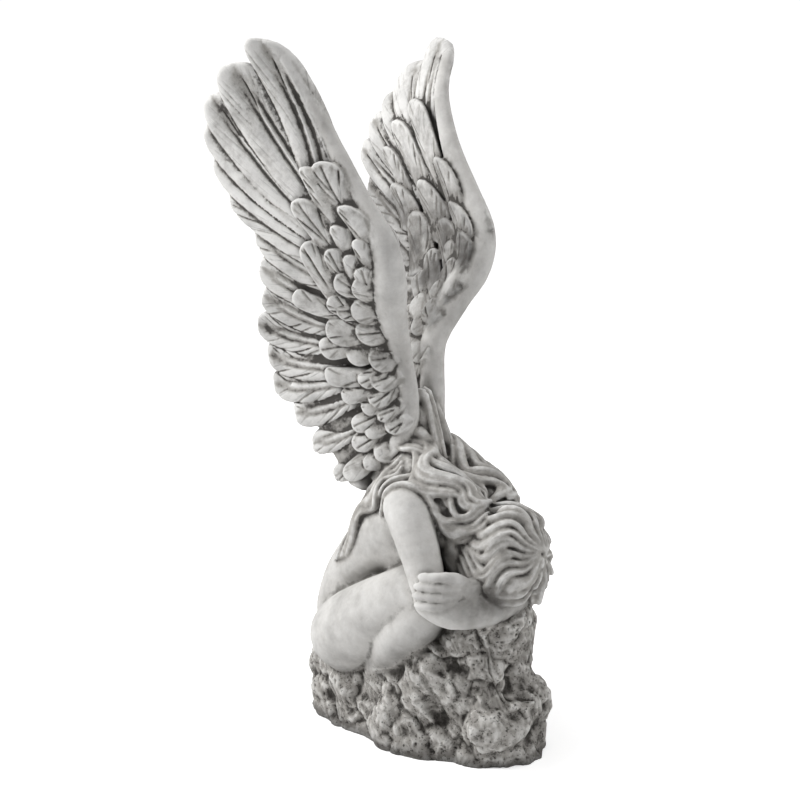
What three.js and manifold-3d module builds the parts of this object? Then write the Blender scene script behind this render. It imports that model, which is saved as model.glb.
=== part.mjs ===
// A cemetery angel in cast stone. A nude winged figure sits on a rough rock with both knees drawn up,
// folds its arms on the rock's higher block and buries its face in them. Long wavy hair runs from the
// crown over the neck and shoulders to the roots of two raised wings.
// The statue is one casting, so it is one solid, and every form below is joined into it.
// Units are millimetres, +Z is up and the figure looks along -Y, so its right hand is on the -X side.
// The origin is on the ground, at the middle of the rock's underside.
import * as THREE from "three";
import { mergeVertices } from "three/addons/utils/BufferGeometryUtils.js";
import Module from "manifold-3d";

const wasm = await Module();
wasm.setup();

// ---- Driving dimensions -------------------------------------------------------------------------

const RIGHT = -1; // the figure's own right side
const LEFT = 1;
const SIDES = [RIGHT, LEFT];

const BASE_HALF_LENGTH = 138; // of the rock, front to back
const BASE_HALF_WIDTH = 59;
const SEAT_HEIGHT = 70; // of the ledge that the figure sits on
const BLOCK_HEIGHT = 151; // of the block that the arms lie on
const BLOCK_Y = -79;
const ROCK_ROUGHNESS = 3.5;
const ROCK_BOTTOM = -15; // before the rock is cut flat at the ground

const HEAD_Y = -91;
const HEAD_Z = 199;
const HEAD_TILT = -0.22; // the crown hangs a little below the nape
const CROWN = [0, -139, 189]; // the whorl that all the hair springs from

const WING_ROOT_Z = 250;
const WING_TOP_Z = 687;
const CHORD_SPLAY = 0.26; // how far a wing swings outward for each millimetre that it runs back
const BLADE_HALF_THICKNESS = 5;

const CARVING_TRIANGLES = 9700; // what the finished solid is thinned to
const SKIN_LOW = [-92, -164, -34]; // the box that holds the figure and the rock
const SKIN_HIGH = [96, 166, 352];
const SKIN_CELL = 6;

const vec = (x, y, z) => new THREE.Vector3(x, y, z);
const { lerp, clamp } = THREE.MathUtils;

// ---- Rounded forms, as distances from their surfaces --------------------------------------------

/** The lesser of two distances, with a soft join between the two forms. */
function softMin(a, b, softness) {
  const overlap = Math.max(softness - Math.abs(a - b), 0) / softness;
  return Math.min(a, b) - (overlap * overlap * softness) / 4;
}

const softMax = (a, b, softness) => -softMin(-a, -b, softness);

/** Joins forms softly into one. */
function blend(softness, ...forms) {
  return (p) => forms.reduce((d, form) => softMin(d, form(p), softness), Infinity);
}

/** The same form on the figure's other side, for a form that is written for +X. */
function onSide(side, form) {
  const there = vec(0, 0, 0);
  return (p) => form(there.set(side * p.x, p.y, p.z));
}

/** A bone that swells from one radius to another between its two ends. */
function bone(from, to, fromRadius, toRadius) {
  const along = to.clone().sub(from);
  const offset = vec(0, 0, 0);
  return (p) => {
    offset.subVectors(p, from);
    const t = clamp(offset.dot(along) / along.lengthSq(), 0, 1);
    return offset.addScaledVector(along, -t).length() - lerp(fromRadius, toRadius, t);
  };
}

/** A limb that bends smoothly through stations of [x, y, z, radius]. */
function limb(stations, piecesPerStation = 3) {
  const path = smoothCurve(stations);
  const radii = stations.map((station) => station[3]);
  const count = (stations.length - 1) * piecesPerStation;
  const pieces = [];
  for (let i = 0; i < count; i++) {
    const [t0, t1] = [i / count, (i + 1) / count];
    pieces.push(
      bone(path.getPoint(t0), path.getPoint(t1), smoothValue(radii, t0), smoothValue(radii, t1)),
    );
  }
  return blend(2.5, ...pieces);
}

/** An egg about a centre, tipped forward about the X axis. */
function egg([x, y, z], [rx, ry, rz], tilt = 0) {
  const [c, s] = [Math.cos(tilt), Math.sin(tilt)];
  return (p) => {
    const dx = p.x - x;
    const dy = (p.y - y) * c + (p.z - z) * s;
    const dz = (p.z - z) * c - (p.y - y) * s;
    const reach = Math.hypot(dx / rx, dy / ry, dz / rz);
    const slope = Math.hypot(dx / rx ** 2, dy / ry ** 2, dz / rz ** 2);
    return (reach * (reach - 1)) / (slope + 1e-9);
  };
}

/** A curve through points, evenly timed between them. */
function smoothCurve(points) {
  const places = points.map(([x, y, z]) => vec(x, y, z));
  return new THREE.CatmullRomCurve3(places, false, "catmullrom", 0.5);
}

/** Reads a smooth value at t, from 0 to 1, out of a list of evenly spaced ones. */
function smoothValue(values, t) {
  return smoothCurve(values.map((value) => [value, 0, 0])).getPoint(t).x;
}

// ---- Figure -------------------------------------------------------------------------------------

/** The bent back, ribs, breasts and shoulders. */
function trunk() {
  const half = blend(
    12,
    limb([
      [22, 80, 84, 34],
      [14, 95, 116, 31],
      [14, 84, 150, 30],
      [20, 56, 180, 31],
      [25, 24, 208, 32],
      [26, -6, 232, 28],
      [16, -30, 240, 22],
    ]),
    bone(vec(30, -2, 238), vec(56, -14, 244), 22, 19),
  );
  return blend(
    14,
    onSide(RIGHT, half),
    onSide(LEFT, half),
    egg([0, 8, 188], [48, 24, 32]),
    ...SIDES.map((side) => egg([side * 35, -18, 194], [17, 17, 17])),
    bone(vec(0, -34, 240), vec(0, -78, 212), 26, 24),
  );
}

/** Buttock, thigh, knee and calf; the foot is lost in the rock. */
function leg() {
  const thigh = limb([
    [30, 84, 94, 30],
    [38, 70, 99, 38],
    [47, 42, 116, 38],
    [51, 8, 138, 34],
    [50, -24, 158, 29],
    [49, -36, 161, 27],
  ]);
  const calf = limb([
    [50, -40, 158, 22],
    [55, -32, 136, 25],
    [58, -12, 114, 25],
    [57, 8, 94, 21],
    [54, 24, 74, 17],
  ]);
  return blend(4, blend(10, thigh, egg([34, 76, 93], [37, 36, 34], 0.3)), calf);
}

/** The stone left in the lap, between the thighs and under the belly, where no chisel reaches. */
function lap() {
  return egg([0, 2, 126], [30, 50, 44]);
}

/** Upper arm; elbowX and elbowY tell the two arms apart. */
function upperArm(elbowX, elbowY) {
  return limb([
    [57, -19, 247, 19],
    [61, -27, 235, 21.5],
    [lerp(61, elbowX, 0.45), lerp(-29, elbowY, 0.42), 207, 19],
    [elbowX, elbowY, 166, 16],
  ]);
}

/** The folded forearms: the right one lies on the rock and the left one crosses it. */
function forearms() {
  const right = limb([
    [-73, -62, 162, 15.5],
    [-66, -84, 156, 17],
    [-40, -104, 157, 16],
    [4, -110, 162, 12],
    [30, -100, 166, 9.5],
  ]);
  const left = limb([
    [66, -48, 162, 15],
    [54, -78, 164, 16],
    [14, -100, 172, 14],
    [-30, -100, 177, 12],
    [-56, -93, 177, 10.5],
  ]);
  return blend(4, right, left);
}

/** The bowed head, face down on the arms, with the hair that lies close to it. */
function head() {
  return blend(
    10,
    egg([0, HEAD_Y, HEAD_Z], [38, 47, 42], HEAD_TILT),
    egg([-9, HEAD_Y - 7, HEAD_Z - 16], [35, 36, 31]),
  );
}

/** The thick of the hair, on the neck, the shoulders and the roots of the wings. */
function hairMass() {
  const half = blend(
    10,
    limb([
      [14, -84, 222, 20],
      [22, -54, 241, 21],
      [22, -20, 262, 22],
      [16, 8, 276, 20],
      [12, 26, 262, 18],
    ]),
    limb([
      [28, -60, 226, 15],
      [42, -34, 246, 15],
      [44, -4, 254, 15],
      [36, 22, 240, 14],
    ]),
  );
  return blend(10, onSide(RIGHT, half), onSide(LEFT, half), egg([0, 4, 300], [17, 13, 42]));
}

// ---- Rock ---------------------------------------------------------------------------------------

/** A slow, seedless ripple that roughens the rock. */
function ripple(p, wave) {
  const { x, y, z } = p;
  return (
    Math.sin(x / wave + 1.7 * Math.sin(z / wave + 0.8)) *
    Math.cos(y / wave + 1.3 * Math.sin(x / wave - 1.1)) *
    Math.cos(z / wave + 0.6)
  );
}

/** An upright rounded block about [x, y], whose width changes toward the front by taper. */
function column(p, [x, y], [halfX, halfY], taper, power) {
  const [dx, dy] = [p.x - x, p.y - y];
  const width = halfX - taper * clamp(dy, -halfY, halfY);
  const reach = (Math.abs(dx / width) ** power + Math.abs(dy / halfY) ** power) ** (1 / power);
  return (reach - 1) * width * 0.9;
}

/** The rock: a broad foot with a seat, a slope under the shins and the block for the arms. */
function rock() {
  const lump = egg([-22, -106, 36], [42, 22, 22]);
  return (p) => {
    const footing = [BASE_HALF_WIDTH - 0.03 * p.z, BASE_HALF_LENGTH - 0.04 * p.z];
    const foot = softMax(column(p, [0, 5], footing, 0.06, 2.8), p.z - SEAT_HEIGHT, 12);
    const climb = Math.min(90 - 0.52 * p.y, 128);
    const slope = softMax(column(p, [0, -22], [68, 58], 0, 2.8), p.z - climb, 12);
    const block = softMax(column(p, [-4, BLOCK_Y], [45, 37], 0, 2.4), p.z - BLOCK_HEIGHT, 8);
    const whole = softMin(softMin(softMin(foot, slope, 10), block, 10), lump(p), 6);
    const rough = whole + ROCK_ROUGHNESS * (ripple(p, 15) + 0.5 * ripple(p, 7.5));
    return Math.max(rough, ROCK_BOTTOM - p.z);
  };
}

// ---- Solids -------------------------------------------------------------------------------------

/** Turns a closed three.js geometry into a manifold solid. */
function solidOf(geometry) {
  geometry.deleteAttribute("normal");
  geometry.deleteAttribute("uv");
  const merged = mergeVertices(geometry, 1e-5);
  return new wasm.Manifold(
    new wasm.Mesh({
      numProp: 3,
      vertProperties: merged.attributes.position.array,
      triVerts: new Uint32Array(merged.index.array),
    }),
  );
}

/** Joins a list of solids into one. */
function joined(solids) {
  return solids.reduce((whole, next) => whole.add(next));
}

/** Turns a solid back into a three.js geometry. */
function geometryOf(solid) {
  const mesh = solid.getMesh();
  const geometry = new THREE.BufferGeometry();
  const positions = new Float32Array(mesh.vertProperties);
  geometry.setAttribute("position", new THREE.BufferAttribute(positions, 3));
  geometry.setIndex(new THREE.BufferAttribute(new Uint32Array(mesh.triVerts), 1));
  return geometry;
}

/** Skins a form with a closed mesh, from a grid whose cubes are each cut into six tetrahedra. */
function skin(form) {
  const low = vec(...SKIN_LOW);
  const counts = vec(...SKIN_HIGH).sub(low).divideScalar(SKIN_CELL).ceil();
  const [across, along, up] = counts.toArray().map((count) => count + 1);
  const corner = (i) =>
    vec(i % across, Math.floor(i / across) % along, Math.floor(i / (across * along)))
      .multiplyScalar(SKIN_CELL)
      .add(low);
  const depth = Float64Array.from({ length: across * along * up }, (_, i) => form(corner(i)));

  const points = [];
  const numbers = new Map();
  const crossing = (inner, outer) => {
    const key = inner * depth.length + outer;
    if (!numbers.has(key)) {
      const share = clamp(depth[inner] / (depth[inner] - depth[outer]), 0.04, 0.96);
      numbers.set(key, points.push(corner(inner).lerp(corner(outer), share)) - 1);
    }
    return numbers.get(key);
  };
  const faces = [];
  const addFace = (face, inner, outer) => {
    const [a, b, c] = face.map((number) => points[number]);
    const normal = b.clone().sub(a).cross(c.clone().sub(a));
    const outward = normal.dot(corner(outer).sub(corner(inner))) > 0;
    faces.push(...(outward ? face : face.reverse()));
  };
  const offset = (bits) =>
    (bits & 1) + (bits & 2 ? across : 0) + (bits & 4 ? across * along : 0);
  const tetrahedra = [[1, 3], [1, 5], [2, 3], [2, 6], [4, 5], [4, 6]];
  for (let i = 0; i + offset(7) < depth.length; i++) {
    if ((i % across) + 1 === across || (Math.floor(i / across) % along) + 1 === along) continue;
    for (const middle of tetrahedra) {
      const corners = [0, ...middle, 7].map((bits) => i + offset(bits));
      const inner = corners.filter((k) => depth[k] < 0);
      const outer = corners.filter((k) => depth[k] >= 0);
      if (inner.length === 0 || outer.length === 0) continue;
      const ring =
        inner.length === 2
          ? [[0, 0], [0, 1], [1, 1], [1, 0]]
          : [0, 1, 2].map((k) => (inner.length === 1 ? [0, k] : [k, 0]));
      const rim = ring.map(([k, m]) => crossing(inner[k], outer[m]));
      addFace(rim.slice(0, 3), inner[0], outer[0]);
      if (rim.length === 4) addFace([rim[0], rim[2], rim[3]], inner[0], outer[0]);
    }
  }
  const geometry = new THREE.BufferGeometry().setFromPoints(points);
  return solidOf(geometry.setIndex(faces));
}

/**
 * Lays the rings of a sphere along a curve, so that its poles are the two ends.
 * radii(t) gives half the width and half the depth, and upAt(t) the direction of the depth.
 */
function sweep(curveAt, radii, upAt, sides, stops, turn = 0) {
  const rings = stops.length + 1;
  const geometry = new THREE.SphereGeometry(1, sides, rings);
  const position = geometry.attributes.position;
  const step = 1e-3;
  for (let i = 0; i < position.count; i++) {
    const ring = Math.round((Math.acos(position.getY(i)) / Math.PI) * rings);
    const t = [0, ...stops, 1][ring];
    const centre = curveAt(t);
    if (ring > 0 && ring < rings) {
      const tangent = curveAt(t + step).sub(curveAt(t - step)).normalize();
      const depthWay = upAt(t);
      depthWay.addScaledVector(tangent, -depthWay.dot(tangent)).normalize();
      const widthWay = depthWay.clone().cross(tangent);
      const angle = Math.atan2(position.getZ(i), position.getX(i)) + turn;
      const [halfWidth, halfDepth] = radii(t);
      centre.addScaledVector(widthWay, Math.cos(angle) * halfWidth);
      centre.addScaledVector(depthWay, Math.sin(angle) * halfDepth);
    }
    position.setXYZ(i, centre.x, centre.y, centre.z);
  }
  return solidOf(geometry);
}

/** Evenly spaced stops between the two ends of a sweep. */
function evenStops(count) {
  return Array.from({ length: count }, (_, i) => (i + 1) / (count + 1));
}

// ---- Hands --------------------------------------------------------------------------------------

/** A hand that closes on the other arm: four fingers side by side, from the wrist to their tips. */
function hand(wrist, knuckles, tips, back) {
  return [-1.5, -0.5, 0.5, 1.5].map((place, i) => {
    const spread = vec(0, place, -9 * place);
    const reach = [0.86, 0.98, 1, 0.9][i];
    const knuckle = knuckles.clone().add(spread);
    const tip = knuckle.clone().lerp(tips.clone().add(spread), reach);
    const bend = knuckle.clone().lerp(tip, 0.5).addScaledVector(back, 3);
    const start = wrist.clone().addScaledVector(spread, 0.5);
    const path = smoothCurve([start, knuckle, bend, tip].map((p) => p.toArray()));
    const girth = (t) => smoothValue([9, 6.5, 5.2, 4.4], t);
    return sweep(
      (t) => path.getPoint(clamp(t, 0, 1)),
      (t) => [girth(t), girth(t)],
      () => back.clone(),
      6,
      [0.04, 0.34, 0.66, 0.93],
    );
  });
}

// ---- Hair ---------------------------------------------------------------------------------------

// The line inside the seat, back, neck and head that every lock of hair lies outside.
const SPINE = [
  [0, 85, 95],
  [0, 60, 160],
  [0, 8, 215],
  [0, -40, 226],
  [0, HEAD_Y, HEAD_Z - 6],
].map((place) => vec(...place));

/** The place on a form that lies outward from the spine through a point, and the way outward. */
function settle(point, form) {
  const hearts = SPINE.slice(1).map((place, i) =>
    new THREE.Line3(SPINE[i], place).closestPointToPoint(point, true, vec(0, 0, 0)),
  );
  const heart = hearts.reduce((best, place) =>
    place.distanceTo(point) < best.distanceTo(point) ? place : best,
  );
  const outward = point.clone().sub(heart).normalize();
  const place = heart.clone().addScaledVector(outward, 110);
  for (let i = 0; i < 40; i++) place.addScaledVector(outward, -0.8 * form(place));
  return { place, outward };
}

/** Locks that lie side by side on a form, between two guide curves, each with its own wave. */
function locks(form, { from, to, count, girth, waves, sway, rings }) {
  const [first, last] = [smoothCurve(from), smoothCurve(to)];
  const sideways = last.getPoint(0.5).sub(first.getPoint(0.5)).normalize();
  return Array.from({ length: count }, (_, i) => {
    const across = count === 1 ? 0.5 : i / (count - 1);
    const phase = 0.7 * i;
    const settled = evenStops(rings + 1).map((s) => {
      const swing = sway * Math.sin(2 * Math.PI * waves * s + phase) * Math.sin(Math.PI * s);
      const guide = first.getPoint(s).lerp(last.getPoint(s), across);
      return settle(guide.addScaledVector(sideways, swing), form);
    });
    const lift = 0.35 * girth;
    const path = smoothCurve(
      settled.map(({ place, outward }) => place.addScaledVector(outward, lift).toArray()),
    );
    const outwardAt = smoothCurve(settled.map(({ outward }) => outward.toArray()));
    const thickness = (t) => girth * (0.4 + 0.6 * Math.sin(Math.PI * t) ** 0.6);
    return sweep(
      (t) => path.getPoint(clamp(t, 0, 1)),
      (t) => [0.9 * thickness(t), thickness(t)],
      (t) => outwardAt.getPoint(t),
      5,
      evenStops(rings),
      Math.PI / 10,
    );
  });
}

/** The locks on the head, which spring from the crown. */
function headLocks(form) {
  const count = 13;
  const meridian = (turn) =>
    [0.1, 0.3, 0.5, 0.7, 0.86].map((share) => {
      const polar = share * 0.8 * Math.PI;
      return [
        CROWN[0] + 46 * Math.sin(polar) * Math.sin(turn),
        HEAD_Y - 50 * Math.cos(polar),
        lerp(CROWN[2], HEAD_Z, share) + 46 * Math.sin(polar) * Math.cos(turn),
      ];
    });
  return Array.from({ length: count }, (_, i) => {
    const turn = lerp(-2, 2, i / (count - 1));
    return locks(form, {
      from: meridian(turn - 0.1),
      to: meridian(turn + 0.1),
      count: 1,
      girth: 7,
      waves: i % 2 ? 1.2 : -1.2,
      sway: 4,
      rings: 6,
    });
  }).flat();
}

/** The locks on the neck and back, and over and behind each shoulder. */
function backLocks(form) {
  const neckEdge = (side) => [
    [side * 36, -66, 222],
    [side * 42, -44, 242],
    [side * 44, -18, 268],
    [side * 24, 0, 296],
    [side * 14, 0, 326],
  ];
  const shoulderEdge = (side, out) => [
    [side * 44, -60, 220],
    [side * (out - 8), -40, 244],
    [side * out, -18, 262],
    [side * out, 6, 252],
    [side * (out - 2), 22, 226],
  ];
  const flankEdge = (side, out, low) => [
    [side * 46, 4, 262],
    [side * (out + 4), 20, 240],
    [side * out, 38, 210],
    [side * out, 60, low],
  ];
  const backEdge = (side) => [
    [side * 12, 20, 285],
    [side * 24, 36, 256],
    [side * 30, 56, 220],
    [side * 28, 80, 190],
  ];
  const neck = { count: 8, girth: 7.5, waves: 1.6, sway: 9, rings: 11 };
  const back = { count: 5, girth: 6.5, waves: 1.3, sway: 4, rings: 5 };
  const shoulder = { count: 2, girth: 6, waves: 1, sway: 2, rings: 7 };
  const side = { count: 3, girth: 4.5, waves: 1.5, sway: 4, rings: 6 };
  return [
    { ...neck, from: neckEdge(RIGHT), to: neckEdge(LEFT) },
    { ...back, from: backEdge(RIGHT), to: backEdge(LEFT) },
    ...SIDES.flatMap((s) => [
      { ...shoulder, from: shoulderEdge(s, 64), to: shoulderEdge(s, 54) },
      { ...side, from: flankEdge(s, 44, 186), to: flankEdge(s, 60, 166) },
    ]),
  ].flatMap((family) => locks(form, family));
}

// ---- Wings --------------------------------------------------------------------------------------

// The front edge of a wing, as [out from the middle, back, up, girth of the wing's arm].
const FRONT_EDGE = [
  [26, 18, WING_ROOT_Z, 17],
  [18, 4, 300, 16],
  [17, 1, 341, 13],
  [24, 4, 391, 14],
  [44, -9, 432, 17],
  [60, -24, 464, 18],
  [71, -22, 497, 17],
  [78, 6, 537, 13],
  [84, 36, 584, 10],
  [98, 59, 632, 8],
  [132, 74, WING_TOP_Z, 6],
];

/** The point of the front edge at a height, as [out, back]. */
function frontEdgeAt(z) {
  const above = FRONT_EDGE.findIndex((station) => station[2] > z);
  const i = clamp(above < 0 ? FRONT_EDGE.length : above, 1, FRONT_EDGE.length - 1);
  const [x0, y0, z0] = FRONT_EDGE[i - 1];
  const [x1, y1, z1] = FRONT_EDGE[i];
  const share = clamp((z - z0) / (z1 - z0), -0.3, 1.2);
  return [lerp(x0, x1, share), lerp(y0, y1, share)];
}

/** The direction out of a wing's outer face. */
const wingFace = (side) => vec(side, -CHORD_SPLAY, 0).normalize();

/** A point on a wing: back from the front edge, up, and lifted off the middle plane. */
function onWing(side, back, z, lift = 0) {
  const [out, y] = frontEdgeAt(z);
  const camber = 6 * Math.sin(Math.PI * clamp(back / 150, 0, 1));
  const point = vec(side * (out + CHORD_SPLAY * back + camber), y + 0.966 * back, z);
  return point.addScaledVector(wingFace(side), lift);
}

// Each row of feathers runs from the tip of the wing to its root. A feather's tip lies at
// [back, up], it leans back from the vertical by lean degrees, and half is half its width.
// On the left wing a flight feather's tip lies further back by extra.
const FLIGHT_ROW = [
  { tip: [16, 686], lean: -4, length: 172, half: 26, extra: 4 },
  { tip: [59, 664], lean: 8, length: 160, half: 31, extra: -2 },
  { tip: [105, 634], lean: 23, length: 148, half: 27, extra: -10 },
  { tip: [130, 606], lean: 35, length: 134, half: 23, extra: 4 },
  { tip: [142, 574], lean: 45, length: 122, half: 21, extra: 27 },
  { tip: [149, 538], lean: 54, length: 112, half: 19, extra: 32 },
  { tip: [145, 503], lean: 63, length: 102, half: 17, extra: 34 },
  { tip: [152, 471], lean: 71, length: 98, half: 16.5, extra: 28 },
  { tip: [152, 441], lean: 76, length: 98, half: 16, extra: 18 },
  { tip: [163, 408], lean: 84, length: 104, half: 16, extra: 6 },
  { tip: [158, 376], lean: 89, length: 98, half: 16, extra: 0 },
  { tip: [157, 346], lean: 98, length: 92, half: 15.5, extra: 0 },
  { tip: [132, 318], lean: 106, length: 80, half: 15, extra: 0 },
  { tip: [104, 289], lean: 116, length: 62, half: 13.5, extra: 0 },
  { tip: [68, 259], lean: 138, length: 44, half: 11, extra: 0 },
];
const GREATER_ROW = [
  { tip: [20, 572], lean: -8, length: 90, half: 16 },
  { tip: [52, 566], lean: 4, length: 84, half: 15 },
  { tip: [80, 536], lean: 16, length: 74, half: 14 },
  { tip: [100, 498], lean: 44, length: 66, half: 13 },
  { tip: [113, 468], lean: 60, length: 60, half: 12.5 },
  { tip: [122, 438], lean: 74, length: 58, half: 12 },
  { tip: [122, 408], lean: 85, length: 56, half: 11.5 },
  { tip: [118, 378], lean: 95, length: 54, half: 11.5 },
  { tip: [111, 348], lean: 104, length: 50, half: 11 },
  { tip: [98, 320], lean: 113, length: 46, half: 10.5 },
  { tip: [79, 294], lean: 124, length: 40, half: 10 },
  { tip: [56, 270], lean: 138, length: 34, half: 9 },
];
const MEDIAN_ROW = [
  { tip: [31, 531], lean: -4, length: 52, half: 12 },
  { tip: [57, 512], lean: 17, length: 46, half: 11.5 },
  { tip: [75, 489], lean: 48, length: 42, half: 10.5 },
  { tip: [83, 464], lean: 66, length: 40, half: 10 },
  { tip: [86, 438], lean: 82, length: 38, half: 10 },
  { tip: [89, 411], lean: 96, length: 38, half: 9.5 },
  { tip: [92, 385], lean: 105, length: 38, half: 9.5 },
  { tip: [88, 358], lean: 109, length: 36, half: 9.5 },
  { tip: [78, 332], lean: 115, length: 34, half: 9 },
  { tip: [66, 306], lean: 124, length: 30, half: 9 },
  { tip: [50, 282], lean: 134, length: 28, half: 8.5 },
];
const SMALL_ROW = [
  { tip: [45, 502], lean: 20, length: 32, half: 9 },
  { tip: [55, 481], lean: 46, length: 31, half: 9 },
  { tip: [58, 458], lean: 68, length: 30, half: 9 },
  { tip: [58, 435], lean: 84, length: 29, half: 8.5 },
  { tip: [57, 411], lean: 95, length: 28, half: 8.5 },
  { tip: [54, 386], lean: 104, length: 28, half: 8.5 },
  { tip: [51, 360], lean: 112, length: 28, half: 8.5 },
  { tip: [46, 334], lean: 119, length: 27, half: 8 },
  { tip: [41, 308], lean: 127, length: 26, half: 8 },
  { tip: [34, 282], lean: 138, length: 24, half: 8 },
];

/** One feather: a petal that lies on the wing from its base to its rounded tip. */
function feather(side, { tip, lean, length, half, thickness, lift, rise, shingle, stops }) {
  const angle = THREE.MathUtils.degToRad(lean);
  const [sine, cosine] = [Math.sin(angle), Math.cos(angle)];
  const curveAt = (t) => {
    const left = (1 - t) * length;
    const bow = 0.05 * length * Math.sin(Math.PI * t) * Math.sign(lean);
    const back = tip[0] - left * sine + bow * cosine;
    const up = tip[1] - left * cosine - bow * sine;
    return onWing(side, back, up, lift + rise * t);
  };
  const widest = 0.62;
  const outline = (t) =>
    t < widest
      ? lerp(0.6, 1, t / widest)
      : Math.sqrt(Math.max(0, 1 - ((t - widest) / (1 - widest)) ** 4));
  const acrossWing = vec(CHORD_SPLAY * side, 1, 0).multiplyScalar(cosine).setZ(-sine);
  return sweep(
    curveAt,
    (t) => [half * outline(t), thickness * (0.4 + 0.6 * outline(t))],
    () => wingFace(side).addScaledVector(acrossWing, -shingle),
    6,
    stops,
  );
}

/** A row of feathers; each overlaps the next one toward the root like a shingle. */
function featherRow(side, row, style) {
  return row.map(({ tip: [back, up], extra = 0, ...sizes }) => {
    const tip = [back + (side === LEFT ? extra : 0), up];
    return feather(side, { tip, ...sizes, ...style });
  });
}

/** The smooth arm of a wing, along its front edge. */
function wingArm(side) {
  const stations = FRONT_EDGE.map(([, , z, girth], i) => {
    const drop = i === FRONT_EDGE.length - 1 ? 12 : 0;
    return onWing(side, 0.85 * girth, z - drop, -3).toArray();
  });
  const path = smoothCurve(stations);
  const girths = FRONT_EDGE.map((station) => station[3]);
  return sweep(
    (t) => path.getPoint(clamp(t, 0, 1)),
    (t) => [0.85 * smoothValue(girths, t), smoothValue(girths, t)],
    () => vec(0, -1, 0),
    8,
    evenStops(15),
  );
}

/** The blade that carries a wing's feathers. */
function wingBlade(side) {
  const stations = [
    { back: 34, z: 246, half: 20 },
    { back: 54, z: 290, half: 42 },
    { back: 72, z: 340, half: 60 },
    { back: 74, z: 400, half: 64 },
    { back: 72, z: 460, half: 64 },
    { back: 68, z: 520, half: 56 },
    { back: 54, z: 575, half: 46 },
    { back: 44, z: 630, half: 34 },
  ];
  const path = smoothCurve(stations.map(({ back, z }) => onWing(side, back, z).toArray()));
  return sweep(
    (t) => path.getPoint(clamp(t, 0, 1)),
    (t) => [smoothValue(stations.map((s) => s.half), t), BLADE_HALF_THICKNESS],
    () => wingFace(side),
    8,
    [0.04, ...evenStops(6), 0.96],
  );
}

/** A whole wing, feathered on both faces. */
function wing(side) {
  const long = [0.12, 0.42, 0.64, 0.84, 0.96];
  const short = [0.3, 0.66, 0.9];
  const flight = { thickness: 5.5, lift: 0, rise: 0, shingle: 0.22, stops: long };
  const solids = [wingArm(side), wingBlade(side), ...featherRow(side, FLIGHT_ROW, flight)];
  const coverts = [
    { row: GREATER_ROW, lift: 4.5, rise: 3 },
    { row: MEDIAN_ROW, lift: 6.5, rise: 3.5 },
    { row: SMALL_ROW, lift: 8, rise: 4 },
  ];
  for (const face of [-1, 1]) {
    for (const { row, lift, rise } of coverts) {
      const style = { thickness: 5, shingle: face * 0.22, stops: short };
      solids.push(
        ...featherRow(side, row, { ...style, lift: face * lift, rise: face * rise }),
      );
    }
  }
  return joined(solids);
}

// ---- Finishing the casting ----------------------------------------------------------------------

/** Drops the closed pockets that joined forms leave inside, because the casting is solid. */
function withoutPockets(geometry) {
  const index = geometry.index.array;
  const root = Array.from({ length: geometry.attributes.position.count }, (_, i) => i);
  const rootOf = (v) => {
    while (root[v] !== v) v = root[v] = root[root[v]];
    return v;
  };
  for (let i = 0; i < index.length; i += 3) {
    root[rootOf(index[i])] = rootOf(index[i + 1]);
    root[rootOf(index[i + 1])] = rootOf(index[i + 2]);
  }
  const sizes = new Map();
  index.forEach((v) => sizes.set(rootOf(v), (sizes.get(rootOf(v)) ?? 0) + 1));
  const outer = [...sizes].sort((a, b) => b[1] - a[1])[0][0];
  geometry.setIndex([...index].filter((_, i) => rootOf(index[3 * Math.floor(i / 3)]) === outer));
  return mergeVertices(geometry, 0);
}

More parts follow.
